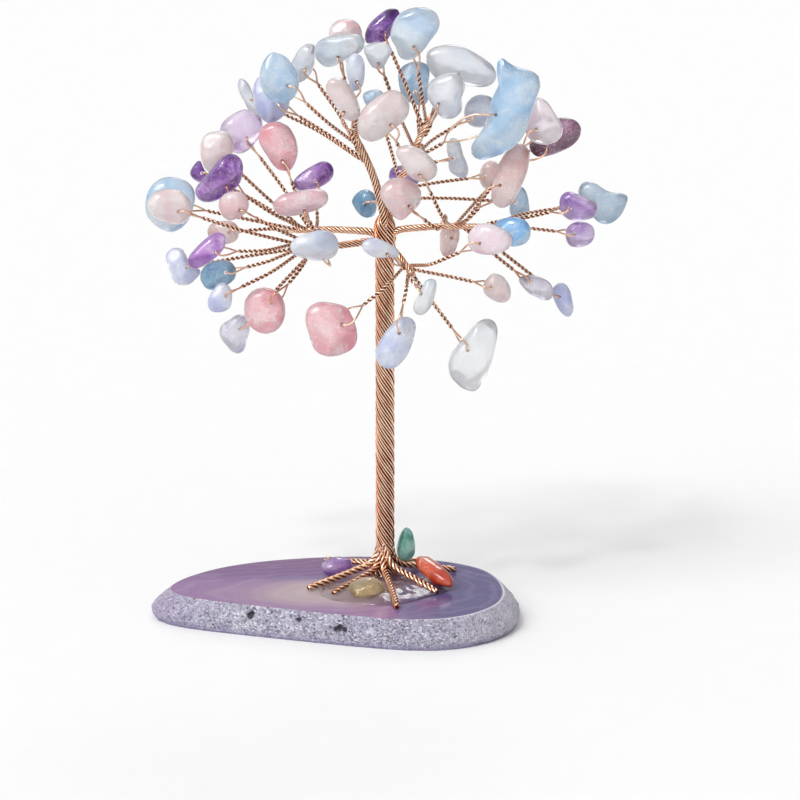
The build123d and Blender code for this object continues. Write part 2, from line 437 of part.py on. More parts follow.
# Trunk: one rope of every wire, standing on the collar
collar_top = slice_top + collar_height
trunk = bundle(trunk_pairs, trunk_pair_d, trunk_lay, Vector(0, 0, collar_top), Vector(0, 0, trunk_top))
save("trunk_bundle", [trunk])

# Root collar: the foot of the trunk, where the wires spread before they part into roots
collar_sections = []
for share, swell in ((0, collar_spread), (0.3, 0.3 + 0.7 * collar_spread), (0.65, 0.75 + 0.25 * collar_spread), (1, 1.0)):
    section = make_face(lobed(trunk_pairs, trunk_pair_d * swell))
    twist = 360 * (1 - share) * collar_height / trunk_lay
    collar_sections.append(Plane.XY.offset(slice_top + share * collar_height) * (Rot(0, 0, 0.5 * twist) * section))
save("root_collar", [loft(collar_sections).solid()])

# Crown knot: the same wires swelling out over the trunk top and closing in above
knot_sections = []
for share, swell, twist in ((0, 1.0, 0), (0.3, knot_swell, 14), (0.6, knot_swell, 26), (0.85, 0.92, 36), (1, 0.5, 44)):
    section = make_face(lobed(trunk_pairs, trunk_pair_d * swell))
    knot_sections.append(Plane.XY.offset(trunk_top + share * knot_height) * (Rot(0, 0, -twist) * section))
save("crown_knot", [loft(knot_sections).solid()])

# Roots: small ropes that lean out from the trunk foot until they lie on the slice
root_solids = []
for root in roots:
    turn = radians(root.bearing)
    out = 1.1 * trunk_r
    start = Vector(out * cos(turn), out * sin(turn), slice_top + root.leaves)
    tip = Vector(root.x, root.y, slice_top + 1.03 * root_r)
    root_solids.append(bundle(root_pairs, root_pair_d, root_lay, start, tip))
save("root_bundles", root_solids)

# Glue pool: a low clear mound round the trunk foot
glue_sections = []
for share, spread in ((0, 1.0), (0.55, 0.86), (0.9, 0.55), (1, 0.3)):
    points = []
    for k in range(10):
        turn = 2 * pi * k / 10
        swell = 0.5 * spread * (1 + 0.07 * sin(3 * turn + 0.6))
        points.append((glue_middle[0] + glue_size[0] * swell * cos(turn), glue_middle[1] + glue_size[1] * swell * sin(turn)))
    level = slice_top + share * glue_height
    glue_sections.append(Plane.XY.offset(level) * make_face(Spline(*points, periodic=True)))
save("glue_pool", [loft(glue_sections).solid()])

# Base chips: loose stones set in the glue round the roots
for name, chip in base_chips.items():
    face = Vector(*chip.face).normalized()
    place = Plane(origin=(chip.x, chip.y, slice_top + chip.z), x_dir=square_to(Vector(*chip.lie), face), z_dir=face)
    save(name, [(place * pebble(chip)).solid()])

# Limbs and their twigs
for name, limb in limbs.items():
    base, tip = limb_ends(limb)
    save(f"limb_{name}", [bundle(limb_pairs, limb_pair_d, limb_lay, base, tip)])
    save(f"twigs_{name}", [twig(chip, set_out(chip)) for chip in chips if chip.limb == name])

# Loose chips swing on their loops, so each is a piece of its own
for chip in chips:
    if chip.loose:
        save(f"{chip.stone}_{chip.number:02d}", [drilled(chip, set_out(chip))])

# Tied chips sit tight on their loops and are grouped by stone
for stone in (ROSE, AQUA, VIOLET, LACE, CLEAR):
    save(f"{stone}_tied", [drilled(chip, set_out(chip)) for chip in chips if chip.stone == stone and not chip.loose])
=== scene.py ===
# Gemstone tree: drilled stone chips on twisted copper wire, rooted on a slice of agate.
# Sizes are in millimetres, as a maker would give them, and become metres where a mesh is made.
import math
from collections import namedtuple

import bmesh
import bpy
import numpy as np
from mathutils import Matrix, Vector, noise


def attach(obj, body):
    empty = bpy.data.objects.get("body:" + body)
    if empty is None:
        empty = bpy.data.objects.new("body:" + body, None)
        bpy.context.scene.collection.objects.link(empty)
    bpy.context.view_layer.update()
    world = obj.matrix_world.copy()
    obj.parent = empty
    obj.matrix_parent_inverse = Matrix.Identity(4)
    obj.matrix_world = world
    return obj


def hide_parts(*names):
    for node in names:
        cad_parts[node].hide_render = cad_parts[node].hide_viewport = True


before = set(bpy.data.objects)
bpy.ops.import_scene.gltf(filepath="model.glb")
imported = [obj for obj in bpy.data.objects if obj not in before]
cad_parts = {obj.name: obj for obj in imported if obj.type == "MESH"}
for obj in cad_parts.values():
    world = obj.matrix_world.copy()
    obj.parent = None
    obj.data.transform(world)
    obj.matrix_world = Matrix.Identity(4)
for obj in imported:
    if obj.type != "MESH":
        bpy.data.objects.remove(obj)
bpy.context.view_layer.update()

# Viewpoint, floor and light
# The ornament stands on a plain white floor and is seen from the front through a long lens, from a little
# above the crown. A broad lamp at the upper left gives the soft shadow and a small one the glints. The pale
# surround fills in, dimmer on the side away from the lamps, with two bright panels and a dark one in it.
bpy.context.scene.view_settings.view_transform = "Standard"

eye = bpy.data.objects.new("eye", bpy.data.cameras.new("eye"))
eye.data.lens = 162.5
eye.data.sensor_width = 36.0
eye.location = (0.003, -0.700, 0.220)
eye.rotation_euler = (Vector((0.003, 0.0, 0.0432)) - eye.location).to_track_quat("-Z", "Y").to_euler()
bpy.context.collection.objects.link(eye)
bpy.context.scene.camera = eye


def tint(red, green, blue):
    """A colour given as it looks on a screen, from 0 to 255."""
    return tuple((c / 255 / 12.92) if c < 11 else ((c / 255 + 0.055) / 1.055) ** 2.4 for c in (red, green,
        blue)) + (1.0,)


def add(tree, kind, inputs, **settings):
    """One node of a finish, with its settings and what feeds it."""
    node = tree.nodes.new(kind)
    for name, value in settings.items():
        setattr(node, name, value)
    for name, value in inputs.items():
        if isinstance(value, bpy.types.NodeSocket):
            tree.links.new(value, node.inputs[name])
        else:
            node.inputs[name].default_value = value
    return node


surround = bpy.data.worlds.new("surround")
bpy.context.scene.world = surround
surround.use_nodes = True
sky = surround.node_tree
way_out = add(sky, "ShaderNodeTexCoord", {}).outputs["Generated"]
towards_lamp = add(sky, "ShaderNodeVectorMath", {0: way_out, 1: (-0.55, -0.60, 0.58)},
                   operation="DOT_PRODUCT").outputs["Value"]
level = add(sky, "ShaderNodeMapRange", {"Value": towards_lamp, "From Min": -0.7, "From Max": 0.9,
                                        "To Min": 0.38, "To Max": 0.86},
            interpolation_type="SMOOTHSTEP").outputs["Result"]
for panel, outer, inner, strength in (((-0.60, -0.45, 0.66), 0.964, 0.968, 3.6),
                                      ((0.15, 0.75, 0.65), 0.984, 0.988, 4.0),
                                      ((0.92, 0.05, 0.12), 0.45, 0.90, -0.30)):
    facing_panel = add(sky, "ShaderNodeVectorMath", {0: way_out, 1: Vector(panel).normalized()},
                       operation="DOT_PRODUCT")
    glow = add(sky, "ShaderNodeMapRange", {"Value": facing_panel.outputs["Value"], "From Min": outer,
                                           "From Max": inner,
                                          "To Max": strength})
    level = add(sky, "ShaderNodeMath", {0: level, 1: glow.outputs["Result"]}, operation="ADD").outputs[0]
sky.nodes["Background"].inputs["Color"].default_value = (1, 1, 1, 1)
sky.links.new(level, sky.nodes["Background"].inputs["Strength"])

for name, energy, width, place in (("key_lamp", 0.5, 20, (-0.45, -0.55, 1.0)),
                                   ("glint_lamp", 0.45, 5, (-0.32, -0.62, 0.85))):
    lamp = bpy.data.objects.new(name, bpy.data.lights.new(name, "SUN"))
    lamp.data.energy = energy
    lamp.data.angle = math.radians(width)
    lamp.rotation_euler = (-Vector(place)).to_track_quat("-Z", "Y").to_euler()
    bpy.context.collection.objects.link(lamp)

floor_mesh = bpy.data.meshes.new("floor")
floor_mesh.from_pydata([(-3, -2, -0.00005), (3, -2, -0.00005), (3, 6, -0.00005), (-3, 6, -0.00005)], [],
                       [(0, 1, 2, 3)])
floor = bpy.data.objects.new("floor", floor_mesh)
bpy.context.collection.objects.link(floor)
paper = bpy.data.materials.new("white_paper")
paper.use_nodes = True
sheet = paper.node_tree
sheet.nodes["Principled BSDF"].inputs["Roughness"].default_value = 0.9
sheet.nodes["Principled BSDF"].inputs["Specular IOR Level"].default_value = 0.0
grain = add(sheet, "ShaderNodeTexNoise", {"Scale": 900.0, "Detail": 3.0})
grain_colour = add(sheet, "ShaderNodeMapRange", {"Value": grain.outputs["Fac"], "To Min": 0.81,
                                                 "To Max": 0.83})
sheet.links.new(grain_colour.outputs["Result"], sheet.nodes["Principled BSDF"].inputs["Base Color"])
floor_path = add(sheet, "ShaderNodeLightPath", {})
floor_seen = add(sheet, "ShaderNodeMath", {0: floor_path.outputs["Is Camera Ray"],
                                           1: floor_path.outputs["Is Glossy Ray"]},
                 operation="MAXIMUM")
floor_seen = add(sheet, "ShaderNodeMath",
                 {0: floor_seen.outputs[0], 1: floor_path.outputs["Is Transmission Ray"]},
                 operation="MAXIMUM")
lift = add(sheet, "ShaderNodeMapRange", {"Value": floor_seen.outputs[0], "To Min": 0.0, "To Max": 0.05})
sheet.nodes["Principled BSDF"].inputs["Emission Color"].default_value = (1, 1, 1, 1)
sheet.links.new(lift.outputs["Result"], sheet.nodes["Principled BSDF"].inputs["Emission Strength"])
floor_mesh.materials.append(paper)

# Agate slice
# The base is one slice sawn from an agate: its upper face is ground and polished, its underside is left sawn,
# and the rough rind of the nodule stays on all round.
slice_top = 6.0
rind_across, rind_deep, rind_widest = 1.11, 1.06, 1.8
polished_outline = (
    (-43.0, -7.0), (-38.5, 2.5), (-28.0, 10.5), (-14.0, 14.5), (0.0, 15.0), (11.0, 12.3),
    (19.5, 6.5), (23.5, -4.0), (22.0, -18.0), (12.0, -27.0), (-5.0, -25.5), (-27.0, -18.0),
)


def smooth_ring(points, count):
    """Evenly spaced points on a smooth closed line through the given points."""
    points = np.array(points, float)
    number = len(points)
    after = np.roll(points, -1, axis=0)
    chord = np.linalg.norm(after - points, axis=1)
    bends = np.zeros((number, number))
    pull = np.zeros((number, 2))
    for i in range(number):
        back, ahead = chord[i - 1], chord[i]
        bends[i, i - 1] += back
        bends[i, i] += 2 * (back + ahead)
        bends[i, (i + 1) % number] += ahead
        pull[i] = 6 * ((after[i] - points[i]) / ahead - (points[i] - points[i - 1]) / back)
    curve = np.linalg.solve(bends, pull)
    reached = np.concatenate(([0.0], np.cumsum(chord)))
    ring = []
    for s in np.linspace(0, reached[-1], count, endpoint=False):
        i = min(int(np.searchsorted(reached, s, "right")) - 1, number - 1)
        j = (i + 1) % number
        h = chord[i]
        a, b = (reached[i + 1] - s) / h, (s - reached[i]) / h
        bend = ((a ** 3 - a) * curve[i] + (b ** 3 - b) * curve[j]) * h * h / 6
        ring.append(a * points[i] + b * points[j] + bend)
    return np.array(ring)


def make_piece(name, points, faces, finishes, body, nodes, slot, bands=None, shades=None):
    """A smooth mesh piece from points in millimetres, riding on a body in place of its CAD nodes."""
    mesh = bpy.data.meshes.new(name)
    mesh.from_pydata([tuple(0.001 * float(c) for c in point) for point in points], [], faces)
    for finish in finishes:
        mesh.materials.append(finish)
    if bands is not None:
        mesh.polygons.foreach_set("material_index", bands)
    if shades is not None:
        mesh.attributes.new("shade", "FLOAT", "POINT").data.foreach_set("value", shades)
    mesh.shade_smooth()
    mesh.update()
    piece = bpy.data.objects.new(name, mesh)
    bpy.context.collection.objects.link(piece)
    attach(piece, body)
    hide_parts(*nodes)
    return piece


def ramp(tree, source, *stops):
    """Colours along a value, each stop a place and a colour."""
    node = tree.nodes.new("ShaderNodeValToRGB")
    tree.links.new(source, node.inputs["Fac"])
    row = node.color_ramp.elements
    while len(row) < len(stops):
        row.new(0.5)
    for element, (place, colour) in zip(row, stops):
        element.position = place
        element.color = colour
    return node.outputs["Color"]


def blend(tree, share, first, second, kind="MIX"):
    """One colour laid over another by a share."""
    node = tree.nodes.new("ShaderNodeMix")
    node.data_type = "RGBA"
    node.blend_type = kind
    for place, value in ((0, share), (6, first), (7, second)):
        if isinstance(value, bpy.types.NodeSocket):
            tree.links.new(value, node.inputs[place])
        else:
            node.inputs[place].default_value = value
    return node.outputs[2]


def new_finish(name):
    finish = bpy.data.materials.new(name)
    finish.use_nodes = True
    tree = finish.node_tree
    shader = tree.nodes["Principled BSDF"]
    place = add(tree, "ShaderNodeTexCoord", {}).outputs["Object"]
    return finish, tree, shader, place


# Polished agate: a pale translucent heart left of the trunk, a blue-violet band behind it and lilac ends
polished_agate, tree, shader, place = new_finish("polished_agate")
heart = add(tree, "ShaderNodeMapping", {"Vector": place, "Location": (-0.013, -0.010, 0),
                                        "Scale": (0.0250, 0.0120, 0.1)},
            vector_type="TEXTURE")
drift = add(tree, "ShaderNodeTexNoise", {"Vector": place, "Scale": 48.0, "Detail": 2.5, "Roughness": 0.5})
drift = add(tree, "ShaderNodeVectorMath", {0: drift.outputs["Color"], 1: (0.5, 0.5, 0.5)},
            operation="SUBTRACT")
drift = add(tree, "ShaderNodeVectorMath", {0: drift.outputs[0], "Scale": 0.9}, operation="SCALE")
field = add(tree, "ShaderNodeVectorMath", {0: heart.outputs[0], 1: drift.outputs[0]}, operation="ADD")
field = add(tree, "ShaderNodeVectorMath", {0: field.outputs[0]}, operation="LENGTH")
ring_share = add(tree, "ShaderNodeMath", {0: field.outputs["Value"], 1: 0.5},
                 operation="MULTIPLY").outputs[0]
front_bands = ramp(tree, ring_share, (0.0, tint(190, 176, 178)), (0.25, tint(180, 158, 168)),
                   (0.36, tint(162, 132, 162)),
                   (0.5, tint(150, 114, 160)), (1.0, tint(151, 116, 163)))
back_bands = ramp(tree, ring_share, (0.0, tint(190, 176, 178)), (0.20, tint(178, 164, 174)),
                  (0.30, tint(146, 136, 164)),
                  (0.38, tint(104, 98, 146)), (0.44, tint(98, 88, 140)), (0.54, tint(122, 88, 136)),
                  (1.0, tint(130, 94, 138)))
across = add(tree, "ShaderNodeSeparateXYZ", {"Vector": place})
back_share = add(tree, "ShaderNodeMapRange", {"Value": across.outputs["Y"], "From Min": -0.006,
                                              "From Max": 0.006},
                 interpolation_type="SMOOTHSTEP").outputs["Result"]
bands = blend(tree, back_share, front_bands, back_bands)
right_share = add(tree, "ShaderNodeMapRange", {"Value": across.outputs["X"], "From Min": -0.002,
                                               "From Max": 0.011},
                  interpolation_type="SMOOTHSTEP").outputs["Result"]
bands = blend(tree, right_share, bands, tint(94, 84, 132))
lines = add(tree, "ShaderNodeMath", {0: field.outputs["Value"], 1: 30.0}, operation="MULTIPLY")
lines = add(tree, "ShaderNodeMath", {0: lines.outputs[0]}, operation="SINE")
lines = add(tree, "ShaderNodeMapRange", {"Value": lines.outputs[0], "From Min": 0.4, "From Max": 1.0,
                                         "To Max": 0.05})
bands = blend(tree, lines.outputs["Result"], bands, tint(226, 220, 232))
clouds = add(tree, "ShaderNodeTexNoise", {"Vector": place, "Scale": 210.0, "Detail": 6.0,
                                          "Roughness": 0.65})
cloud_share = add(tree, "ShaderNodeMapRange", {"Value": clouds.outputs["Fac"], "From Min": 0.5,
                                               "From Max": 0.85, "To Max": 0.22})
bands = blend(tree, cloud_share.outputs["Result"], bands, tint(186, 174, 200))
edge_share = add(tree, "ShaderNodeAttribute", {}, attribute_name="shade").outputs["Fac"]
edge_share = add(tree, "ShaderNodeMapRange", {"Value": edge_share, "From Min": 0.982,
                                              "From Max": 0.996}).outputs["Result"]
edge_share = add(tree, "ShaderNodeMath", {0: edge_share, 1: right_share}, operation="MULTIPLY").outputs[0]
bands = blend(tree, edge_share, bands, tint(226, 222, 232))
tree.links.new(bands, shader.inputs["Base Color"])
shader.inputs["Subsurface Weight"].default_value = 0.25
shader.inputs["Subsurface Radius"].default_value = (1.0, 0.8, 1.0)
shader.inputs["Subsurface Scale"].default_value = 0.0015
polish = add(tree, "ShaderNodeMapRange", {"Value": clouds.outputs["Fac"], "To Min": 0.10, "To Max": 0.24})
tree.links.new(polish.outputs["Result"], shader.inputs["Roughness"])

# Rind: pale grey-lilac grains with painted white glints, dark specks between them and a few pits darkened with
# painted shade
rind, tree, shader, place = new_finish("agate_rind")
cells = add(tree, "ShaderNodeTexVoronoi", {"Vector": place, "Scale": 2700.0, "Randomness": 1.0})
coarse = add(tree, "ShaderNodeTexNoise", {"Vector": place, "Scale": 300.0, "Detail": 8.0,
                                          "Roughness": 0.72})
grain_tone = add(tree, "ShaderNodeSeparateColor", {"Color": cells.outputs["Color"]}).outputs["Red"]
grains = ramp(tree, grain_tone, (0.0, tint(86, 80, 102)), (0.25, tint(144, 139, 162)),
              (0.6, tint(182, 178, 198)),
              (0.84, tint(210, 207, 220)), (1.0, tint(253, 253, 255)))
shadow = ramp(tree, coarse.outputs["Fac"], (0.34, tint(98, 90, 112)), (0.45, tint(162, 157, 180)),
              (0.62, tint(204, 202, 216)))
grains = blend(tree, 0.34, grains, shadow)
specks = add(tree, "ShaderNodeTexVoronoi", {"Vector": place, "Scale": 900.0, "Randomness": 1.0})
speck_share = add(tree, "ShaderNodeMapRange", {"Value": specks.outputs["Distance"], "From Min": 0.16,
                                               "From Max": 0.30,
                                              "To Min": 0.85, "To Max": 0.0})
speck_some = add(tree, "ShaderNodeSeparateColor", {"Color": specks.outputs["Color"]}).outputs["Green"]
speck_some = add(tree, "ShaderNodeMath", {0: speck_some, 1: 0.55}, operation="GREATER_THAN")
speck_share = add(tree, "ShaderNodeMath", {0: speck_share.outputs["Result"], 1: speck_some.outputs[0]},
                  operation="MULTIPLY")
grains = blend(tree, speck_share.outputs[0], grains, tint(84, 76, 92))
# The pits are painted dark: painted shade in the dents.
pit_share = add(tree, "ShaderNodeAttribute", {}, attribute_name="shade").outputs["Fac"]
pit_share = add(tree, "ShaderNodeMapRange", {"Value": pit_share, "From Min": 1.15, "From Max": 1.4,
                                             "To Max": 0.95}).outputs["Result"]
grains = blend(tree, pit_share, grains, tint(52, 42, 54))
along = add(tree, "ShaderNodeSeparateXYZ", {"Vector": place})
far_left = add(tree, "ShaderNodeMapRange", {"Value": along.outputs["X"], "From Min": -0.034,
                                            "From Max": -0.048, "To Max": 0.5}).outputs["Result"]
grains = blend(tree, far_left, grains, tint(164, 146, 186))
# Painted light: the rind is lightened towards the right, where less light falls on it.
right_painted_lift = add(tree, "ShaderNodeMapRange", {"Value": along.outputs["X"], "From Min": 0.006,
                                             "From Max": 0.024, "To Max": 0.45}).outputs["Result"]
grains = blend(tree, right_painted_lift, grains, tint(220, 212, 228))
low_share = add(tree, "ShaderNodeMapRange", {"Value": along.outputs["Z"], "From Min": 0.0014,
                                             "From Max": 0.0002, "To Max": 0.7}).outputs["Result"]
grains = blend(tree, low_share, grains, tint(150, 138, 180))
tree.links.new(grains, shader.inputs["Base Color"])
shader.inputs["Subsurface Weight"].default_value = 0.1
shader.inputs["Subsurface Scale"].default_value = 0.0006
rough = add(tree, "ShaderNodeMapRange", {"Value": grain_tone, "To Min": 0.6, "To Max": 0.16})
tree.links.new(rough.outputs["Result"], shader.inputs["Roughness"])
relief = add(tree, "ShaderNodeBump", {"Strength": 0.9, "Distance": 0.0004,
                                      "Height": cells.outputs["Distance"]})
tree.links.new(relief.outputs["Normal"], shader.inputs["Normal"])

ring_count = 520
polished = smooth_ring(polished_outline, ring_count)
outline_middle = np.array(polished_outline).mean(axis=0)
slice_points, slice_shades, slice_rows = [], [], []
rind_pits = ((-26.7, -19.2, 4.2, 0.8), (-17.3, -22.7, 4.4, 0.5), (-9.0, -25.6, 3.5, 0.7),
             (-7.8, -26.0, 3.2, 0.6),
             (3.6, -27.6, 2.9, 0.4), (14.0, -28.6, 2.6, 0.4), (-38.0, -12.6, 3.0, 0.5))


def slice_row(across, deep, height, roughness, shade):
    """One ring of the slice, its points pushed in and out where the rind is rough."""
    row = []
    for x, y in outline_middle + (polished - outline_middle) * np.array((across, deep)):
        spot = Vector((x, y, height))
        out = Vector((x - outline_middle[0], (y - outline_middle[1]) * 2.0, 0)).normalized()
        bumps = sum(high * noise.noise(spot * fine) for high, fine in ((0.55, 0.55), (0.5, 1.4), (0.35, 3.1)))
        pits = min(0.0, noise.noise(spot * 0.33 + Vector((7, 3, 1))) + 0.35)
        spot += out * (roughness * (bumps - 0.7 + 3.0 * pits))
        dark = 0.0
        # Pits are pushed in as dents; the darkness they add to the shade is painted shade in them.
        for px, py, pz, wide in rind_pits:
            away = math.hypot(x - px, y - py, 1.3 * (height - pz)) * (1 + 0.7 * noise.noise(spot * 1.1))
            dark = max(dark, 1 - away / (1.6 * wide))
        spot -= out * (1.0 * dark * (roughness > 0))
        spot.z += 0.45 * roughness * noise.noise(spot * 1.7 + Vector((0, 0,
            9))) if 0 < height < slice_top else 0.0
        row.append(len(slice_points))
        slice_points.append(spot)
        slice_shades.append(shade + (dark if roughness > 0 else 0.0))
    slice_rows.append(row)


for share in (0.04, 0.2, 0.4, 0.6, 0.8, 0.93, 0.965, 0.98, 0.99, 0.996):
    slice_row(share, share, slice_top, 0.0, share)
for k in range(15):
    drop = k / 14
    height = slice_top * (1 - drop)
    if height > rind_widest:
        swell = math.sin(0.5 * math.pi * (slice_top - height) / (slice_top - rind_widest))
    else:
        swell = 1 - 0.27 * (1 - height / rind_widest) ** 2
    slice_row(1 + (rind_across - 1) * swell, 1 + (rind_deep - 1) * swell, height,
              0.0 if k == 0 else 0.38 * min(1.0, 3.0 * drop) * (0.5 if k == 14 else 1.0), 1.0)
for share in (0.9, 0.5, 0.04):
    slice_row(share * 1.06, share * 1.03, 0.0, 0.0, 0.5)

slice_faces, slice_bands = [tuple(slice_rows[0])], [0]
for upper, lower in zip(slice_rows, slice_rows[1:]):
    for k in range(ring_count):
        slice_faces.append((upper[k], lower[k], lower[(k + 1) % ring_count], upper[(k + 1) % ring_count]))
        slice_bands.append(0 if lower[0] < 10.5 * ring_count else 1)
slice_faces.append(tuple(reversed(slice_rows[-1])))
slice_bands.append(1)
make_piece("agate_base", slice_points, slice_faces, [polished_agate, rind], "tree",
                         ["agate_slice"], "agate",
                         slice_bands, slice_shades)

# Trunk, foot collar and crown knot
# All the copper wires of the crown are laid together and twisted into one rope. Its foot spreads into the
# glue, and at the top the rope swells where the wires part into limbs.
trunk_top = 73.0
trunk_r = 1.92
trunk_lay = 16.0
trunk_strands = 18
collar_height = 5.0
knot_height = 8.5
wire_r = 0.215


def directions_along(path):
    """Two directions square to a path at each of its points, carried along it without turning."""
    path = np.asarray(path, float)
    run = np.gradient(path, axis=0)
    run /= np.linalg.norm(run, axis=1)[:, None]
    first = np.cross(run[0], (0.31, 0.52, 0.80))
    first /= np.linalg.norm(first)
    firsts = []
    for way in run:
        first = first - way * np.dot(first, way)
        first = first / np.linalg.norm(first)
        firsts.append(first)
    firsts = np.array(firsts)
    return firsts, np.cross(run, firsts)


class Coil:
    """Wires gathered for one mesh: points, faces and a tone for each wire, which carries painted shade and
    highlight across it.
    """

    def __init__(self):
        self.points, self.faces, self.shades = [], [], []

    def wire(self, path, radius, sides, shade, middle=None):
        """Lays a round wire with closed ends along a path, darker on its side towards the middle of a rope:
        painted shade in the grooves, with a painted highlight on its outer side.
        """
        path = np.asarray(path, float)
        first, second = directions_along(path)
        away = np.zeros_like(path) if middle is None else path - np.asarray(middle, float)
        away /= np.maximum(np.linalg.norm(away, axis=1), 1e-6)[:, None]
        start = len(self.points)
        turns = [2 * math.pi * k / sides for k in range(sides)]
        for spot, a, b, out in zip(path, first, second, away):
            for turn in turns:
                lean = math.cos(turn) * a + math.sin(turn) * b
                self.points.append(spot + radius * lean)
                # painted shade on the side towards the rope's middle, painted highlight on the outer side
                self.shades.append(shade + (lean.dot(out) - 0.7 if out.any() else 0.0))
        for i in range(len(path) - 1):
            low = start + i * sides
            for k in range(sides):
                n = (k + 1) % sides
                self.faces.append((low + k, low + n, low + sides + n, low + sides + k))
        self.faces.append(tuple(start + k for k in reversed(range(sides))))
        self.faces.append(tuple(start + (len(path) - 1) * sides + k for k in range(sides)))


def copper_finish(name, dark, plain, bright):
    """Bare copper wire: each strand has its own tone, with painted shade in the grooves between strands and a
    painted highlight on their outer side.
    """
    finish, tree, shader, place = new_finish(name)
    tone = add(tree, "ShaderNodeAttribute", {}, attribute_name="shade").outputs["Fac"]
    tarnish = add(tree, "ShaderNodeTexNoise", {"Vector": place, "Scale": 420.0, "Detail": 5.0,
                                               "Roughness": 0.6})
    tone = add(tree, "ShaderNodeMath", {0: tarnish.outputs["Fac"], 1: 0.6, 2: tone},
               operation="MULTIPLY_ADD").outputs[0]
    # The bright end of the ramp is the painted highlight on the strands' outer side, and the dark end is the
    # painted shade in the grooves.
    tree.links.new(ramp(tree, tone, (0.2, dark), (0.6, plain), (1.0, bright)), shader.inputs["Base Color"])
    shader.inputs["Metallic"].default_value = 1.0
    rough = add(tree, "ShaderNodeMapRange", {"Value": tarnish.outputs["Fac"], "From Min": 0.3,
                                             "From Max": 0.7,
                                            "To Min": 0.12, "To Max": 0.24})
    tree.links.new(rough.outputs["Result"], shader.inputs["Roughness"])
    drawn = add(tree, "ShaderNodeTexNoise", {"Vector": place, "Scale": 3200.0, "Detail": 2.0})
    relief = add(tree, "ShaderNodeBump", {"Strength": 0.15, "Distance": 0.00004,
                                          "Height": drawn.outputs["Fac"]})
    tree.links.new(relief.outputs["Normal"], shader.inputs["Normal"])
    return finish


# Its bright tint carries the painted highlight on the strands and its dark tint the painted shade in the
# grooves.
bright_copper = copper_finish("bright_copper", tint(90, 32, 16), tint(214, 128, 86), tint(255, 226, 198))


def trunk_wires(coil, low, high, steps, reach, sides=6):
    """The strands of the trunk between two heights; reach gives their distance from the middle."""
    for k in range(trunk_strands):
        path = []
        for i in range(steps + 1):
            z = low + (high - low) * i / steps
            turn = 2 * math.pi * (k / trunk_strands - (z - slice_top) / trunk_lay)
            turn += 0.05 * noise.noise(Vector((k * 3.7, z * 0.09, 1.0)))
            out = reach(z) + (0.03 if k % 3 else -0.10) + 0.06 * noise.noise(Vector((k * 5.1, z * 0.16,
                4.0)))
            path.append((out * math.cos(turn), out * math.sin(turn), z))
        # Each strand is painted darker on its side towards the trunk's middle: painted shade in the grooves.
        coil.wire(path, wire_r, sides, 0.5 + 0.3 * noise.noise(Vector((k * 9.3, 2.0, 0.5))),
                  [(0, 0, spot[2]) for spot in path])


trunk_ring = trunk_r - wire_r - 0.03
trunk = Coil()
trunk_wires(trunk, slice_top + collar_height, trunk_top, 92, lambda z: trunk_ring)
# The core wire is painted dark: painted shade that shows in the gaps between the strands.
trunk.wire([(0, 0, slice_top + collar_height), (0, 0, 40), (0, 0, trunk_top)], trunk_ring - 0.28, 20, -0.3)
make_piece("trunk_rope", trunk.points, trunk.faces, [bright_copper], "tree", ["trunk_bundle"], "copper",
           shades=trunk.shades)

collar = Coil()
trunk_wires(collar, slice_top + 0.1, slice_top + collar_height, 14,
            lambda z: trunk_ring * (1 + 0.62 * (1 - (z - slice_top) / collar_height) ** 1.8))
# The core wire is painted dark: painted shade that shows in the gaps between the strands.
collar.wire([(0, 0, slice_top + 0.1), (0, 0, slice_top + 2), (0, 0, slice_top + collar_height)],
            trunk_ring - 0.28, 20, -0.3)
make_piece("trunk_foot", collar.points, collar.faces, [bright_copper], "tree", ["root_collar"], "copper",
           shades=collar.shades)


def knot_reach(z):
    rise = (z - trunk_top) / knot_height
    swell = 1 + 0.22 * math.sin(math.pi * min(1.0, rise / 0.85))
    close = max(0.0, (rise - 0.7) / 0.3)
    return trunk_ring * swell * (1 - 0.78 * close * close)


knot = Coil()
trunk_wires(knot, trunk_top, trunk_top + knot_height, 24, knot_reach)
# The core wire is painted dark: painted shade that shows in the gaps between the strands.
knot.wire([(0, 0, trunk_top), (0, 0, trunk_top + 3), (0, 0, trunk_top + 0.8 * knot_height)],
          trunk_ring - 0.28, 20, -0.3)
knot.wire([(0, 0, trunk_top + share * knot_height) for share in (0.7, 0.85, 0.97)], 0.5, 12, 0.1)
make_piece("knot_of_wires", knot.points, knot.faces, [bright_copper], "tree", ["crown_knot"], "copper",
           shades=knot.shades)

# Roots
# Below the collar the wires part into seven small ropes of four wires. They spread over the slice and are
# held in the glue, and their ends are simply snipped off.
root_lay = 5.2
Root = namedtuple("Root", "x y leaves bearing")
roots = (
    Root(-15.4, -8.8, 2.9, 197), Root(-10.3, -12.5, 2.0, 228), Root(-12.3, 11.0, 2.2, 135),
    Root(2.4, -21.4, 1.9, 262), Root(10.4, -11.5, 2.7, 297), Root(14.3, 3.9, 2.3, 18),
    Root(7.6, 10.0, 2.3, 58),
)


def bent_path(corners, share, step):
    """Points along a wire that is straight between its corners and bent round each of them."""
    corners = [Vector(corner) for corner in corners]
    run = [corners[0]]
    for before, corner, after in zip(corners, corners[1:], corners[2:]):
        cut = share * min((corner - before).length, (after - corner).length)
        enter = corner + (before - corner).normalized() * cut
        leave = corner + (after - corner).normalized() * cut
        for k in range(9):
            t = k / 8
            run.append(enter * (1 - t) ** 2 + corner * 2 * t * (1 - t) + leave * t * t)
    run.append(corners[-1])
    reached = [0.0]
    for a, b in zip(run, run[1:]):
        reached.append(reached[-1] + (b - a).length)
    count = max(3, int(reached[-1] / step) + 1)
    spots = np.linspace(0, reached[-1], count)
    run = np.array(run)
    return np.stack([np.interp(spots, reached, run[:, axis]) for axis in range(3)], axis=1)


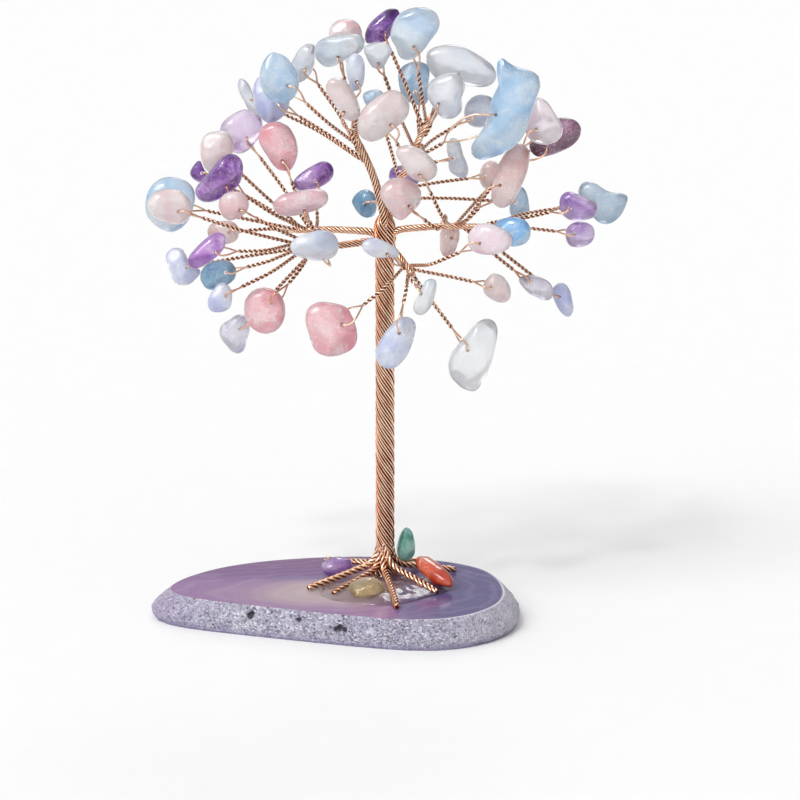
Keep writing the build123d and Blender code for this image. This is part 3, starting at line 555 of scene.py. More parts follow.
def twisted_rope(coil, axis, strands, reach, lay, radius, sides, seed):
    """Strands wound round an axis; reach gives their distance from it at each share of its length."""
    first, second = directions_along(axis)
    step = np.linalg.norm(np.diff(axis, axis=0), axis=1)
    run = np.concatenate(([0.0], np.cumsum(step)))
    for k in range(strands):
        path = []
        for spot, a, b, s in zip(axis, first, second, run):
            turn = 2 * math.pi * (k / strands + s / lay)
            out = reach(s / run[-1]) * (1 + 0.10 * noise.noise(Vector((k * 4.3, s * 0.4, seed))))
            path.append(spot + out * (math.cos(turn) * a + math.sin(turn) * b))
        # Each strand is painted darker on its side towards the rope's axis: painted shade in its grooves.
        coil.wire(path, radius, sides, 0.5 + 0.3 * noise.noise(Vector((k * 7.7, seed * 1.9, 3.3))), axis)


root_coil = Coil()
for number, root in enumerate(roots):
    turn = math.radians(root.bearing)
    higher = turn - math.radians(48)
    axis = bent_path([
        (1.1 * math.cos(higher), 1.1 * math.sin(higher), slice_top + root.leaves + 5.5),
        (2.0 * math.cos(turn), 2.0 * math.sin(turn), slice_top + root.leaves + 0.7),
        (0.62 * root.x, 0.62 * root.y, slice_top + 0.42 * root.leaves + 0.62),
        (root.x, root.y, slice_top + 0.62),
    ], 0.48, 0.45)
    twisted_rope(root_coil, axis, 4, lambda s: 0.43 - 0.20 * max(0.0, s - 0.94) / 0.06, root_lay, 0.30, 8,
                 number + 1)
    # The core wire is painted dark: painted shade that shows in the gaps between the strands.
    root_coil.wire(axis[:-5], 0.28, 6, -0.3)
make_piece("root_ropes", root_coil.points, root_coil.faces, [bright_copper], "tree", ["root_bundles"],
           "copper",
           shades=root_coil.shades)

# Glue pool
# Clear adhesive was poured over the roots and set hard. It runs out thin at its edge and keeps a
# few small bubbles.
glue_middle, glue_size, glue_height = (-1.0, -7.5), (29.0, 23.0), 1.9
clear_glue, tree, shader, place = new_finish("clear_glue")
film = add(tree, "ShaderNodeTexNoise", {"Vector": place, "Scale": 240.0, "Detail": 3.0})
# White patches in the glue's colour are painted glints, laid over a warm cream tint.
tree.links.new(ramp(tree, film.outputs["Fac"], (0.3, tint(226, 210, 200)), (0.55, tint(250, 246, 242)),
                    (0.7, tint(255, 254, 252))), shader.inputs["Base Color"])
shader.inputs["Transmission Weight"].default_value = 1.0
shader.inputs["IOR"].default_value = 1.40
shader.inputs["Alpha"].default_value = 0.78
shader.inputs["Coat Weight"].default_value = 1.0
shader.inputs["Coat Roughness"].default_value = 0.03
film_rough = add(tree, "ShaderNodeMapRange", {"Value": film.outputs["Fac"], "To Min": 0.02, "To Max": 0.07})
tree.links.new(film_rough.outputs["Result"], shader.inputs["Roughness"])
bubbles = add(tree, "ShaderNodeTexVoronoi", {"Vector": place, "Scale": 520.0})
bubble_rise = add(tree, "ShaderNodeMapRange", {"Value": bubbles.outputs["Distance"], "From Min": 0.05,
                                               "From Max": 0.22,
                                              "To Min": 1.0, "To Max": 0.0},
                                              interpolation_type="SMOOTHSTEP")
waves = add(tree, "ShaderNodeTexNoise", {"Vector": place, "Scale": 420.0, "Detail": 1.0})
waves = add(tree, "ShaderNodeMath", {0: bubble_rise.outputs["Result"], 1: 0.15, 2: waves.outputs["Fac"]},
            operation="MULTIPLY_ADD")
relief = add(tree, "ShaderNodeBump", {"Strength": 0.8, "Distance": 0.0006, "Height": waves.outputs[0]})
tree.links.new(relief.outputs["Normal"], shader.inputs["Normal"])

glue_points, glue_faces = [(glue_middle[0], glue_middle[1], slice_top + 0.8 * glue_height)], []
glue_rings, glue_around = 22, 96
for ring in range(1, glue_rings + 1):
    share = ring / glue_rings
    for k in range(glue_around):
        turn = 2 * math.pi * k / glue_around
        lobes = 1 + 0.05 * math.sin(3 * turn + 0.6) + 0.035 * math.sin(5 * turn + 2.0) - 0.08
        x = glue_middle[0] + 0.5 * glue_size[0] * share * lobes * math.cos(turn)
        y = glue_middle[1] + 0.5 * glue_size[1] * share * lobes * math.sin(turn)
        ripple = 0.45 * noise.noise(Vector((0.38 * x, 0.38 * y, 5.0))) * (1 - share ** 4)
        rise = 0.8 * glue_height * (1 - share ** 3.4) ** 0.9 + ripple
        glue_points.append((x, y, slice_top + max(0.02, rise) if ring < glue_rings else slice_top - 0.12))
for k in range(glue_around):
    glue_faces.append((0, 1 + k, 1 + (k + 1) % glue_around))
for ring in range(glue_rings - 1):
    low = 1 + ring * glue_around
    for k in range(glue_around):
        n = (k + 1) % glue_around
        glue_faces.append((low + k, low + glue_around + k, low + glue_around + n, low + n))
glue_faces.append(tuple(1 + (glue_rings - 1) * glue_around + k for k in reversed(range(glue_around))))
make_piece("glue_puddle", glue_points, glue_faces, [clear_glue], "tree", ["glue_pool"], "glue")

# Chips set in the glue
# Four tumbled chips stand at the foot of the trunk: green aventurine, red carnelian, purple amethyst and
# yellow citrine. They are not drilled, and only the glue holds them.


def in_stone(tree, place, number):
    """Places inside a stone, turned its own way for each chip."""
    return add(tree, "ShaderNodeMapping", {"Vector": place, "Rotation": (1.3 * number, 0.7 * number,
        2.1 * number),
                                           "Location": (0.011 * number, 0.007 * number,
                                                        0.003 * number)}).outputs["Vector"]


def tumbled_shape(outline, thick, number, around=52, levels=20, worn=1.0):
    """Points and faces of a chip with rounded sides and a few flats worn on its broad faces."""
    ring = smooth_ring(outline, around)
    points = [Vector((0, 0, -0.5 * thick))]
    for k in range(1, levels):
        lean = math.pi * (k / levels - 0.5)
        scale = math.cos(lean) ** 0.8
        height = 0.5 * thick * math.copysign(abs(math.sin(lean)) ** 0.8, lean)
        points += [Vector((x * scale, y * scale, height)) for x, y in ring]
    points.append(Vector((0, 0, 0.5 * thick)))
    for k in range(7):
        side = 1 if k % 2 else -1
        flat = Vector((0.5 * math.sin(2.1 * number + 1.7 * k), 0.5 * math.cos(1.3 * number + 2.3 * k),
                       side)).normalized()
        reach = max(point.dot(flat) for point in points) * (0.88 + 0.05 * math.sin(number + 3 * k))
        for point in points:
            over = point.dot(flat) - reach
            if over > 0:
                point -= flat * (over * 0.85 * worn)
    shift = Vector((number * 3.1, number * 1.7, number * 0.9))
    for point in points:
        swell = 0.05 * noise.noise(point * 0.33 + shift) + 0.03 * noise.noise(point * 0.8 + shift)
        swell += 0.008 * noise.noise(point * 1.3 + shift)
        point *= 1 + min(0.0, swell + 0.012)
    faces = []
    for k in range(around):
        n = (k + 1) % around
        faces.append((0, 1 + n, 1 + k))
        for row in range(levels - 2):
            low = 1 + row * around
            faces.append((low + k, low + n, low + around + n, low + around + k))
        last = 1 + (levels - 2) * around
        faces.append((last + k, last + n, len(points) - 1))
    return points, faces


def stone_finish(name, number, base, deep, pale, veil_glint_size, veil_glint_strength, clear, milk, rough, facets):
    """A polished translucent stone: zones of deeper colour, thin pale veils that are partly its own and partly
    painted glints, and a worn, glinting surface.
    """
    finish, tree, shader, place = new_finish(name)
    inside = in_stone(tree, place, number)
    zones = add(tree, "ShaderNodeTexNoise", {"Vector": inside, "Scale": 0.45 * veil_glint_size, "Detail": 3.0,
                                             "Roughness": 0.5,
                                             "Distortion": 0.6})
    colour = ramp(tree, zones.outputs["Fac"], (0.34, deep), (0.50, base), (0.68, pale))
    folds = add(tree, "ShaderNodeTexNoise", {"Vector": inside, "Scale": veil_glint_size, "Detail": 4.0,
                                             "Roughness": 0.55,
                                             "Distortion": 1.6})
    ridge = add(tree, "ShaderNodeMath", {0: folds.outputs["Fac"], 1: 0.5}, operation="SUBTRACT")
    ridge = add(tree, "ShaderNodeMath", {0: ridge.outputs[0]}, operation="ABSOLUTE")
    veil_glint = add(tree, "ShaderNodeMapRange", {"Value": ridge.outputs[0], "From Min": 0.0, "From Max": 0.024,
                                            "To Min": veil_glint_strength,
                                           "To Max": 0.0})
    some = add(tree, "ShaderNodeMapRange", {"Value": zones.outputs["Fac"], "From Min": 0.40,
                                            "From Max": 0.52})
    veil_glint = add(tree, "ShaderNodeMath", {0: veil_glint.outputs["Result"], 1: some.outputs["Result"]},
               operation="MULTIPLY")
    # The pale veils are partly the stone's own veils and partly painted glints and sparkle.
    colour = blend(tree, veil_glint.outputs[0], colour, tuple(0.2 * c + 0.8 for c in pale))
    tree.links.new(colour, shader.inputs["Base Color"])
    matt = add(tree, "ShaderNodeMapRange", {"Value": zones.outputs["Fac"], "From Min": 0.3, "From Max": 0.7,
                                           "To Min": rough, "To Max": rough + 0.14})
    tree.links.new(matt.outputs["Result"], shader.inputs["Roughness"])
    shader.inputs["IOR"].default_value = 1.54
    shader.inputs["Transmission Weight"].default_value = clear
    shader.inputs["Subsurface Weight"].default_value = milk
    shader.inputs["Subsurface Radius"].default_value = (1.0, 0.85, 0.85)
    shader.inputs["Subsurface Scale"].default_value = 0.0016
    shader.inputs["Coat Weight"].default_value = 0.9
    shader.inputs["Coat Roughness"].default_value = 0.05
    chipped = add(tree, "ShaderNodeTexVoronoi", {"Vector": inside, "Scale": 480.0}, feature="SMOOTH_F1")
    worn = add(tree, "ShaderNodeTexNoise", {"Vector": inside, "Scale": 1100.0, "Detail": 4.0})
    height = add(tree, "ShaderNodeMath", {0: worn.outputs["Fac"], 1: 0.18, 2: chipped.outputs["Distance"]},
                 operation="MULTIPLY_ADD")
    height = add(tree, "ShaderNodeMath", {0: veil_glint.outputs[0], 1: -0.12, 2: height.outputs[0]},
                 operation="MULTIPLY_ADD")
    relief = add(tree, "ShaderNodeBump", {"Strength": facets, "Distance": 0.0004,
                                          "Height": height.outputs[0]})
    tree.links.new(relief.outputs["Normal"], shader.inputs["Normal"])
    return finish


BaseChip = namedtuple("BaseChip", "number x y z thick lie face outline")
base_chips = {
    "base_aventurine": BaseChip(61, 4.3, 2.0, 6.6, 3.2, (0.1, 0.1, 1), (0.2, -1, 0.1), (
        (3.4, 0.3), (2.2, 1.3), (0.2, 1.8), (-1.8, 1.8), (-3.2, 1.0), (-3.4, -0.4), (-2.2, -1.7),
        (-0.2, -1.8),
        (1.8, -1.3), (3.1, -0.5))),
    "base_carnelian": BaseChip(62, 10.02, -5.43, 2.9, 3.4, (0.66, -0.73, -0.18), (0.3, -0.2, 1), (
        (5.5, -0.4), (4.6, 0.9), (1.5, 1.7), (-2.5, 2.1), (-5.0, 1.2), (-5.3, -0.6), (-3.6, -1.8),
        (0.5, -2.1),
        (4.0, -1.6))),
    "base_amethyst": BaseChip(63, -9.7, 1.01, 2.1, 3.6, (0.95, 0.1, 0.25), (0, -0.4, 1), (
        (3.1, 0.4), (2.0, 1.7), (-0.5, 2.1), (-2.6, 1.4), (-3.2, -0.2), (-2.2, -1.7), (0.4, -2.1),
        (2.5, -1.2))),
    "base_citrine": BaseChip(64, -3.61, -13.02, 2.0, 3.4, (1, -0.1, 0.1), (0, -0.3, 1), (
        (3.4, 0.5), (2.0, 2.2), (-0.8, 2.5), (-3.0, 1.5), (-3.5, -0.6), (-2.0, -2.3), (0.9, -2.4),
        (3.0, -1.2))),
}
base_finishes = {
    "base_aventurine": stone_finish("green_aventurine", 61, tint(88, 168, 152), tint(50, 130, 114),
                                    tint(160, 210, 198), 520,
                                    0.4, 0.25, 0.25, 0.20, 0.2),
    # The carnelian's pale, near-white pink zones are partly its own paler colour and partly a painted
    # reflection of light on its facets.
    "base_carnelian": stone_finish("red_carnelian", 62, tint(230, 104, 66), tint(206, 62, 30),
                                   tint(252, 208, 192), 330,
                                   0.5, 0.35, 0.2, 0.10, 0.24),
    "base_amethyst": stone_finish("base_amethyst_purple", 63, tint(168, 124, 200), tint(122, 76, 168),
                                  tint(218, 194, 232), 420,
                                  0.4, 0.55, 0.1, 0.10, 0.25),
    "base_citrine": stone_finish("yellow_citrine", 64, tint(238, 208, 134), tint(220, 180, 94),
                                 tint(251, 240, 200), 420,
                                 0.6, 0.85, 0.0, 0.04, 0.4),
}
for name, chip in base_chips.items():
    points, faces = tumbled_shape(chip.outline, chip.thick, chip.number)
    face = Vector(chip.face).normalized()
    lie = Vector(chip.lie)
    lie = (lie - face * lie.dot(face)).normalized()
    up = face.cross(lie)
    foot = Vector((chip.x, chip.y, slice_top + chip.z))
    points = [foot + lie * p.x + up * p.y + face * p.z for p in points]
    make_piece("chip_" + name, points, faces, [base_finishes[name]], "tree", [name], name[5:])

# Limbs
# Seven smaller ropes leave the knot. Each is a bundle of the wires of its own twigs, twisted together, and it
# thins towards its tip as the twigs leave it pair by pair.
limb_r = 0.949
limb_lay = 6.0
Limb = namedtuple("Limb", "bearing share tip fork bow girth")
limbs = {
    "upper_left": Limb(270, 0.86, (-6.3, -4.0, 25.3), 0.70, (1.1, 0.0, 0.0), 0.72),
    "upper_right": Limb(60, 0.86, (9.1, 3.0, 27.3), 0.50, (-0.5, 0.0, 0.3), 0.66),
    "right": Limb(345, 0.58, (21.0, -5.0, 6.5), 0.50, (0.0, 0.0, 0.5), 0.58),
    "left_front": Limb(215, 0.36, (-18.5, -9.0, 3.0), 0.68, (0.0, 0.0, -0.5), 0.62),
    "left_back": Limb(150, 0.50, (-19.0, 6.0, 3.5), 0.66, (0.0, 0.0, 0.5), 0.62),
    "lower_right": Limb(305, 0.26, (5.9, -7.0, -3.2), 0.60, (0.0, 0.0, 0.3), 0.62),
    "back": Limb(110, 0.66, (4.0, 15.0, 14.0), 0.34, (0.0, 0.4, 0.3), 0.62),
}


def limb_ends(limb):
    turn = math.radians(limb.bearing)
    base = Vector((0.72 * trunk_r * math.cos(turn), 0.72 * trunk_r * math.sin(turn),
                   trunk_top + limb.share * knot_height))
    return base, Vector(limb.tip) + Vector((0, 0, trunk_top))


limb_axes = {}
for name, limb in limbs.items():
    base, tip = limb_ends(limb)
    inner = Vector((0.3 * base.x, 0.3 * base.y, base.z - 5.0))
    axis = bent_path([inner, base, (base + tip) / 2 + Vector(limb.bow), tip], 0.48, 0.4)
    limb_axes[name] = axis
    rope = Coil()
    twisted_rope(rope, axis, 7, lambda s: (limb.girth - 0.2 * s) * (1 - 0.55 * max(0.0, s - 0.93) / 0.07),
                 limb_lay, 0.2, 6,
                 limb.bearing * 0.1)
    # The core wire is painted dark: painted shade that shows in the gaps between the strands.
    rope.wire(axis[:-3], limb.girth - 0.26, 8, -0.3)
    make_piece("rope_" + name, rope.points, rope.faces, [bright_copper], "tree", ["limb_" + name], "copper",
               shades=rope.shades)

# Crown chips
# Sixty tumbled chips of five stones, each drilled once through its broad face. Some hang slack on their loop
# and swing on it, and the others are drawn up tight. An outline is the chip's edge as seen from the front.
Chip = namedtuple("Chip", "number stone tint limb place thick loose outline")
ROSE, AQUA, VIOLET, LACE, CLEAR = "rose_quartz", "aquamarine", "amethyst", "blue_lace", "clear_quartz"
hole_r, hole_place, hole_sides, swing = 0.36, 0.45, 14, 20.0
chips = (
    Chip(1, ROSE, "milky", "upper_left", (-8.0, 8.0, 43.0), 4.4, True, (
        (-2.7, 1.0), (-1.4, 2.2), (0.6, 2.6), (2.6, 1.8), (3.5, 0.2), (3.3, -1.8), (0.6, -2.8),
        (-2.1, -2.2), (-3.0,
        -0.7))),
    Chip(2, AQUA, "mist", "upper_left", (-9.0, -3.0, 41.1), 4.2, False, (
        (-4.5, 0.7), (-3.2, 2.1), (-0.2, 2.8), (2.8, 3.3), (4.8, 2.7), (5.2, 1.2), (4.1, -0.5), (1.6, -1.8),
        (-0.2,
        -2.9), (-2.6, -3.3), (-4.2, -2.1))),
    Chip(6, LACE, "pale", "upper_left", (-5.7, -11.0, 38.3), 3.2, False, (
        (-1.2, 2.4), (-0.1, 3.4), (1.2, 2.9), (1.9, 1.0), (1.8, -1.5), (1.0, -3.6), (0.0, -4.0),
        (-1.1, -2.5), (-1.6,
        0.1))),
    Chip(7, CLEAR, "grey", "upper_left", (-16.2, 10.0, 36.5), 3.8, False, (
        (0.7, 3.8), (2.2, 3.6), (2.5, 1.5), (1.5, -2.1), (-0.5, -3.8), (-1.7, -3.9), (-2.6, -1.0),
        (-1.5, 1.6))),
    Chip(8, AQUA, "sky", "upper_left", (-20.5, -10.0, 36.9), 4.6, True, (
        (-1.0, 4.8), (0.9, 4.3), (2.9, 2.4), (4.0, -0.5), (3.2, -3.8), (0.6, -5.1), (-2.6, -3.4),
        (-3.6, 0.2), (-2.8,
        3.1))),
    Chip(9, LACE, "periwinkle", "upper_left", (-22.5, 1.0, 30.9), 4.4, False, (
        (-2.4, 4.0), (-3.3, 1.7), (-3.0, -1.0), (-1.9, -3.6), (-0.4, -4.8), (2.0, -4.1), (3.7, -1.6),
        (3.7, 1.2), (1.0,
        3.9))),
    Chip(10, CLEAR, "grey", "upper_left", (-27.2, 10.0, 29.7), 2.6, True, (
        (-1.5, 3.7), (-0.5, 3.3), (1.3, 0.1), (2.5, -2.8), (2.2, -3.8), (1.1, -3.5), (-0.9, -0.6),
        (-2.0, 2.4))),
    Chip(31, ROSE, "pale", "upper_left", (-8.0, -15.0, 33.5), 4.0, False, (
        (-3.2, 2.6), (-2.4, 4.0), (-0.9, 4.3), (0.6, 3.4), (2.0, 1.6), (3.0, -0.9), (3.3, -3.2),
        (1.9, -4.4), (0.1,
        -3.6), (-1.7, -0.7))),
    Chip(3, VIOLET, "deep", "upper_right", (-0.8, 6.0, 44.3), 4.2, True, (
        (-3.1, -1.6), (-2.2, 0.6), (-0.3, 2.4), (2.0, 3.6), (3.6, 3.2), (3.5, 1.4), (2.2, -0.9),
        (1.0, -2.8), (-1.3,
        -3.1), (-2.8, -3.2))),
    Chip(4, AQUA, "ice", "upper_right", (5.4, -4.0, 44.5), 5.0, True, (
        (-2.5, 3.9), (-0.4, 4.9), (2.6, 5.0), (4.8, 3.9), (5.3, 1.7), (3.8, -1.1), (1.4, -4.1),
        (-0.7, -5.2), (-2.4,
        -4.7), (-3.2, -2.9), (-4.2, -1.0), (-3.9, 1.6))),
    Chip(5, AQUA, "mist", "upper_right", (-1.5, -9.0, 41.0), 3.4, False, (
        (-2.4, 1.5), (-0.9, 2.3), (1.8, 2.3), (2.9, 1.4), (2.2, -0.7), (0.7, -2.7), (-0.5, -2.5),
        (-1.9, -0.6))),
    Chip(34, AQUA, "grey", "upper_right", (5.8, 12.0, 32.3), 4.4, False, (
        (-2.9, 2.5), (-1.1, 3.9), (1.4, 4.1), (2.9, 3.2), (3.0, 0.5), (3.0, -2.5), (2.4, -4.2), (0.2, -4.4),
        (-2.0,
        -3.1), (-3.1, -0.1))),
    Chip(35, CLEAR, "haze", "upper_right", (15.2, 10.0, 36.0), 5.0, True, (
        (-6.8, 2.8), (-4.8, 3.9), (-2.0, 4.2), (1.0, 3.4), (4.2, 1.6), (6.4, -0.3), (7.0, -2.3),
        (6.0, -3.8), (2.7,
        -4.2), (-1.3, -3.5), (-5.1, -2.5), (-6.6, -0.5), (-7.1, 1.2))),
    Chip(36, CLEAR, "haze", "upper_right", (11.9, -6.0, 33.0), 4.6, False, (
        (-2.6, 2.8), (-0.5, 3.8), (2.0, 4.3), (3.6, 2.8), (3.7, 0.8), (3.1, -0.9), (3.2, -2.9), (1.7, -4.7),
        (-0.5,
        -4.7), (-2.3, -2.9), (-3.6, -0.7), (-3.6, 1.1))),
    Chip(37, AQUA, "sky", "upper_right", (23.4, -13.5, 31.6), 5.2, False, (
        (-1.2, 9.7), (0.5, 8.7), (2.8, 7.8), (5.4, 7.1), (6.6, 5.5), (6.0, 2.3), (4.8, -1.5), (3.3, -5.7),
        (0.8, -8.4),
        (-2.5, -10.0), (-6.0, -10.3), (-6.8, -9.3), (-5.6, -6.0), (-3.6, -2.2), (-2.7, 1.8), (-1.3, 5.6),
        (-1.8, 8.6))),
    Chip(38, LACE, "grey", "upper_right", (19.1, 13.0, 26.4), 4.0, False, (
        (-3.1, 0.9), (-1.9, 2.6), (0.2, 3.3), (2.2, 2.6), (3.1, 0.2), (2.2, -2.3), (-0.1, -3.3),
        (-2.4, -2.6), (-3.3,
        -0.9))),
    Chip(43, LACE, "grey", "upper_right", (14.4, 4.0, 18.6), 3.2, False, (
        (-2.1, 2.7), (-1.1, 3.9), (0.1, 3.5), (0.8, 1.9), (1.5, -0.3), (2.1, -2.8), (1.5, -3.9),
        (-0.2, -3.7), (-1.5,
        -2.7), (-1.9, -0.1))),
    Chip(32, ROSE, "pale", "upper_right", (-0.2, -15.0, 30.4), 5.0, False, (
        (-0.7, 3.7), (2.0, 4.6), (4.0, 3.8), (5.2, 1.7), (4.5, -1.0), (2.2, -2.7), (-0.7, -4.5),
        (-3.0, -4.9), (-4.7,
        -3.7), (-5.2, -1.2), (-3.7, 1.8))),
    Chip(33, AQUA, "ice", "back", (-2.2, 19.0, 28.0), 3.6, False, (
        (-2.1, 1.0), (-0.8, 1.6), (1.2, 1.6), (2.2, 0.3), (1.9, -1.6), (-0.1, -2.4), (-1.8, -1.2))),
    Chip(60, VIOLET, "lilac", "back", (3.9, 24.0, 11.1), 3.6, False, (
        (3.2, 0.3), (2.0, 2.1), (-0.6, 2.5), (-2.8, 1.5), (-3.2, -0.4), (-1.9, -2.2), (0.8, -2.4),
        (2.7, -1.5))),
    Chip(46, AQUA, "teal", "back", (-4.2, 16.5, 6.8), 4.2, False, (
        (-2.5, 0.5), (-1.7, 2.0), (0.2, 3.0), (1.8, 2.3), (2.5, -0.2), (1.8, -2.4), (0.7, -2.7),
        (-1.7, -1.0))),
    Chip(42, ROSE, "dusky", "back", (20.9, 13.0, 13.3), 3.8, False, (
        (-2.0, 0.3), (-1.2, 2.2), (0.5, 3.0), (2.0, 2.2), (2.1, -0.5), (1.1, -2.8), (-0.2, -3.0),
        (-1.7, -1.7))),
    Chip(47, AQUA, "haze", "back", (27.0, 14.0, 7.6), 3.6, False, (
        (0.5, 3.2), (1.5, 1.9), (2.0, -0.4), (1.8, -2.5), (0.0, -3.1), (-1.6, -2.7), (-2.0, -0.8),
        (-0.9, 1.9))),
    Chip(39, CLEAR, "blush", "right", (31.2, 0.0, 26.6), 4.6, True, (
        (-3.8, 1.2), (-2.6, 3.5), (-1.1, 4.6), (0.6, 3.8), (2.4, 1.2), (3.7, -1.3), (3.2, -3.4),
        (1.2, -4.5), (-0.9,
        -4.5), (-2.8, -3.5), (-3.9, -1.4))),
    Chip(40, VIOLET, "plum", "right", (34.0, 11.0, 21.3), 4.4, True, (
        (0.8, 4.0), (2.6, 4.0), (4.4, 3.2), (5.2, 1.5), (4.3, -0.7), (1.6, -2.5), (-1.7, -3.6),
        (-4.1, -3.5), (-5.3,
        -1.7), (-4.3, 0.6), (-1.7, 2.8))),
    Chip(41, ROSE, "dusky", "right", (24.6, -9.0, 17.5), 4.6, False, (
        (-0.4, 5.1), (1.6, 6.2), (3.3, 5.2), (3.6, 3.1), (2.8, -0.3), (1.4, -3.3), (-0.1, -5.6),
        (-1.9, -6.4), (-3.6,
        -5.3), (-3.7, -1.9), (-2.4, 2.2))),
    Chip(44, ROSE, "pale", "right", (6.2, -16.0, 21.2), 4.0, False, (
        (-3.9, 2.5), (-2.6, 3.4), (-1.0, 3.5), (1.0, 2.6), (2.9, 0.9), (4.0, -1.1), (3.6, -2.6),
        (2.0, -3.6), (0.0,
        -3.5), (-1.8, -2.1), (-3.2, 0.4))),
    Chip(45, ROSE, "milky", "right", (3.0, -12.0, 13.2), 5.0, False, (
        (-3.9, 1.5), (-2.2, 3.9), (0.3, 4.4), (3.0, 3.2), (4.2, 1.2), (3.8, -0.8), (2.0, -2.6), (0.0, -3.9),
        (-1.6,
        -2.7), (-3.0, -0.6))),
    Chip(48, AQUA, "bright", "right", (25.1, -10.5, 6.5), 3.8, False, (
        (-3.6, 1.8), (-1.7, 2.8), (0.6, 3.0), (2.5, 2.2), (3.4, 0.3), (2.8, -1.7), (1.0, -2.7),
        (-2.0, -2.2), (-3.6,
        -0.2))),
    Chip(49, ROSE, "lilac", "lower_right", (20.5, -16.0, 6.3), 4.2, False, (
        (-4.2, 1.2), (-2.8, 2.7), (0.0, 3.0), (2.5, 2.0), (4.2, 0.3), (3.9, -1.3), (1.5, -2.8),
        (-1.5, -3.0), (-3.6,
        -2.2), (-4.4, -0.7))),
    Chip(50, VIOLET, "lilac", "right", (37.7, -9.0, 11.5), 3.8, True, (
        (-3.7, 0.5), (-3.1, 2.2), (-2.1, 2.7), (0.4, 2.0), (3.2, 0.5), (3.8, -1.0), (3.1, -2.2),
        (0.7, -2.8), (-1.9,
        -2.7), (-3.4, -1.2))),
    Chip(51, AQUA, "haze", "right", (43.4, 6.0, 9.2), 4.4, True, (
        (-5.0, 2.3), (-4.4, 3.7), (-3.2, 4.2), (-1.2, 3.6), (0.7, 2.4), (2.9, 1.9), (4.8, 1.3), (4.6, -0.5),
        (3.3,
        -2.9), (1.4, -4.2), (-0.6, -4.1), (-2.6, -2.2), (-4.3, 0.2))),
    Chip(52, VIOLET, "lilac", "right", (38.6, 4.0, 3.2), 3.8, True, (
        (-2.4, 1.3), (-0.8, 2.4), (1.2, 2.4), (2.7, 1.5), (3.1, -0.2), (2.3, -1.8), (0.2, -2.6),
        (-1.8, -2.3), (-2.7,
        -0.8))),
    Chip(53, ROSE, "dusky", "right", (12.9, 6.0, 1.4), 3.4, False, (
        (-1.7, 2.4), (-0.5, 3.5), (1.5, 3.2), (1.9, 1.1), (1.3, -1.3), (0.0, -3.4), (-1.4, -3.2),
        (-1.9, -0.6))),
    Chip(55, CLEAR, "smoke", "right", (29.6, -8.0, -5.0), 3.4, True, (
        (-3.3, 1.7), (-1.8, 2.4), (0.6, 2.1), (2.7, 1.0), (3.5, -0.7), (2.8, -2.4), (0.7, -2.2),
        (-1.3, -1.2), (-2.8,
        0.4))),
    Chip(56, LACE, "periwinkle", "right", (35.2, -2.0, -8.8), 3.2, True, (
        (-2.1, 1.9), (-1.3, 3.1), (0.0, 3.3), (1.3, 2.1), (1.9, -0.1), (2.1, -2.2), (1.2, -3.4),
        (-0.2, -2.7), (-1.5,
        -0.6))),
    Chip(18, ROSE, "milky", "left_front", (-29.2, -12.0, 12.1), 3.8, False, (
        (-2.1, 2.1), (-0.1, 2.8), (1.9, 2.4), (2.9, 0.8), (2.5, -1.1), (0.9, -2.4), (-1.5, -2.7),
        (-2.7, -1.2), (-2.9,
        0.8))),
    Chip(20, ROSE, "pale", "left_front", (-41.8, -13.0, 12.0), 4.6, True, (
        (-3.1, 2.6), (-0.7, 3.5), (1.9, 3.3), (3.9, 1.6), (4.4, -0.6), (3.6, -2.6), (1.4, -3.4),
        (-1.4, -2.5), (-3.6,
        -1.1), (-4.1, 0.8))),
    Chip(21, VIOLET, "bright", "left_front", (-34.2, -17.0, 4.1), 4.0, True, (
        (1.8, 3.6), (3.4, 3.2), (3.6, 1.6), (2.2, -0.7), (-0.5, -2.6), (-3.0, -3.3), (-3.8, -2.2),
        (-2.5, 0.4), (-0.3,
        2.5))),
    Chip(22, LACE, "periwinkle", "left_front", (-39.4, -5.0, -1.6), 4.2, True, (
        (-3.5, 2.8), (-2.4, 3.7), (-0.4, 3.5), (0.6, 1.8), (1.6, 0.3), (3.2, -0.8), (2.7, -1.9),
        (-0.1, -3.6), (-1.8,
        -3.1), (-2.9, -0.6))),
    Chip(23, AQUA, "teal", "left_front", (-32.4, -13.0, -1.4), 4.0, False, (
        (-2.7, 1.6), (-0.6, 2.7), (2.3, 2.6), (3.5, 1.1), (3.3, -0.7), (1.4, -2.2), (-1.8, -2.9),
        (-3.2, -1.6), (-3.4,
        0.3))),
    Chip(24, LACE, "periwinkle", "left_front", (-31.9, -17.0, -5.0), 3.4, True, (
        (0.4, 2.9), (1.9, 2.1), (2.4, 0.1), (1.9, -2.0), (0.0, -2.9), (-1.9, -2.5), (-2.4, -1.1),
        (-1.4, 1.3))),
    Chip(25, VIOLET, "smoke", "left_front", (-29.6, -5.0, -15.1), 4.0, True, (
        (-1.3, 2.8), (0.7, 3.9), (2.3, 3.4), (3.0, 1.5), (2.5, -1.2), (1.4, -3.6), (0.3, -3.9),
        (-1.5, -2.5), (-3.1,
        0.0), (-2.7, 1.7))),
    Chip(26, ROSE, "deep", "left_front", (-23.2, -14.0, -8.5), 5.0, True, (
        (-2.1, 4.3), (0.6, 4.6), (2.9, 3.3), (3.9, 0.6), (3.3, -2.4), (0.9, -4.3), (-1.7, -3.9),
        (-3.7, -1.9), (-4.2,
        0.8), (-3.6, 3.0))),
    Chip(28, LACE, "pale", "left_front", (-13.4, -13.2, 4.2), 4.6, False, (
        (-5.0, 2.2), (-3.1, 4.0), (-0.1, 4.3), (2.6, 3.4), (4.2, 1.3), (4.6, -1.7), (3.7, -3.9),
        (1.2, -3.9), (-1.4,
        -2.7), (-4.0, -0.5))),
    Chip(29, LACE, "pale", "lower_right", (-0.9, -11.0, 3.5), 3.2, False, (
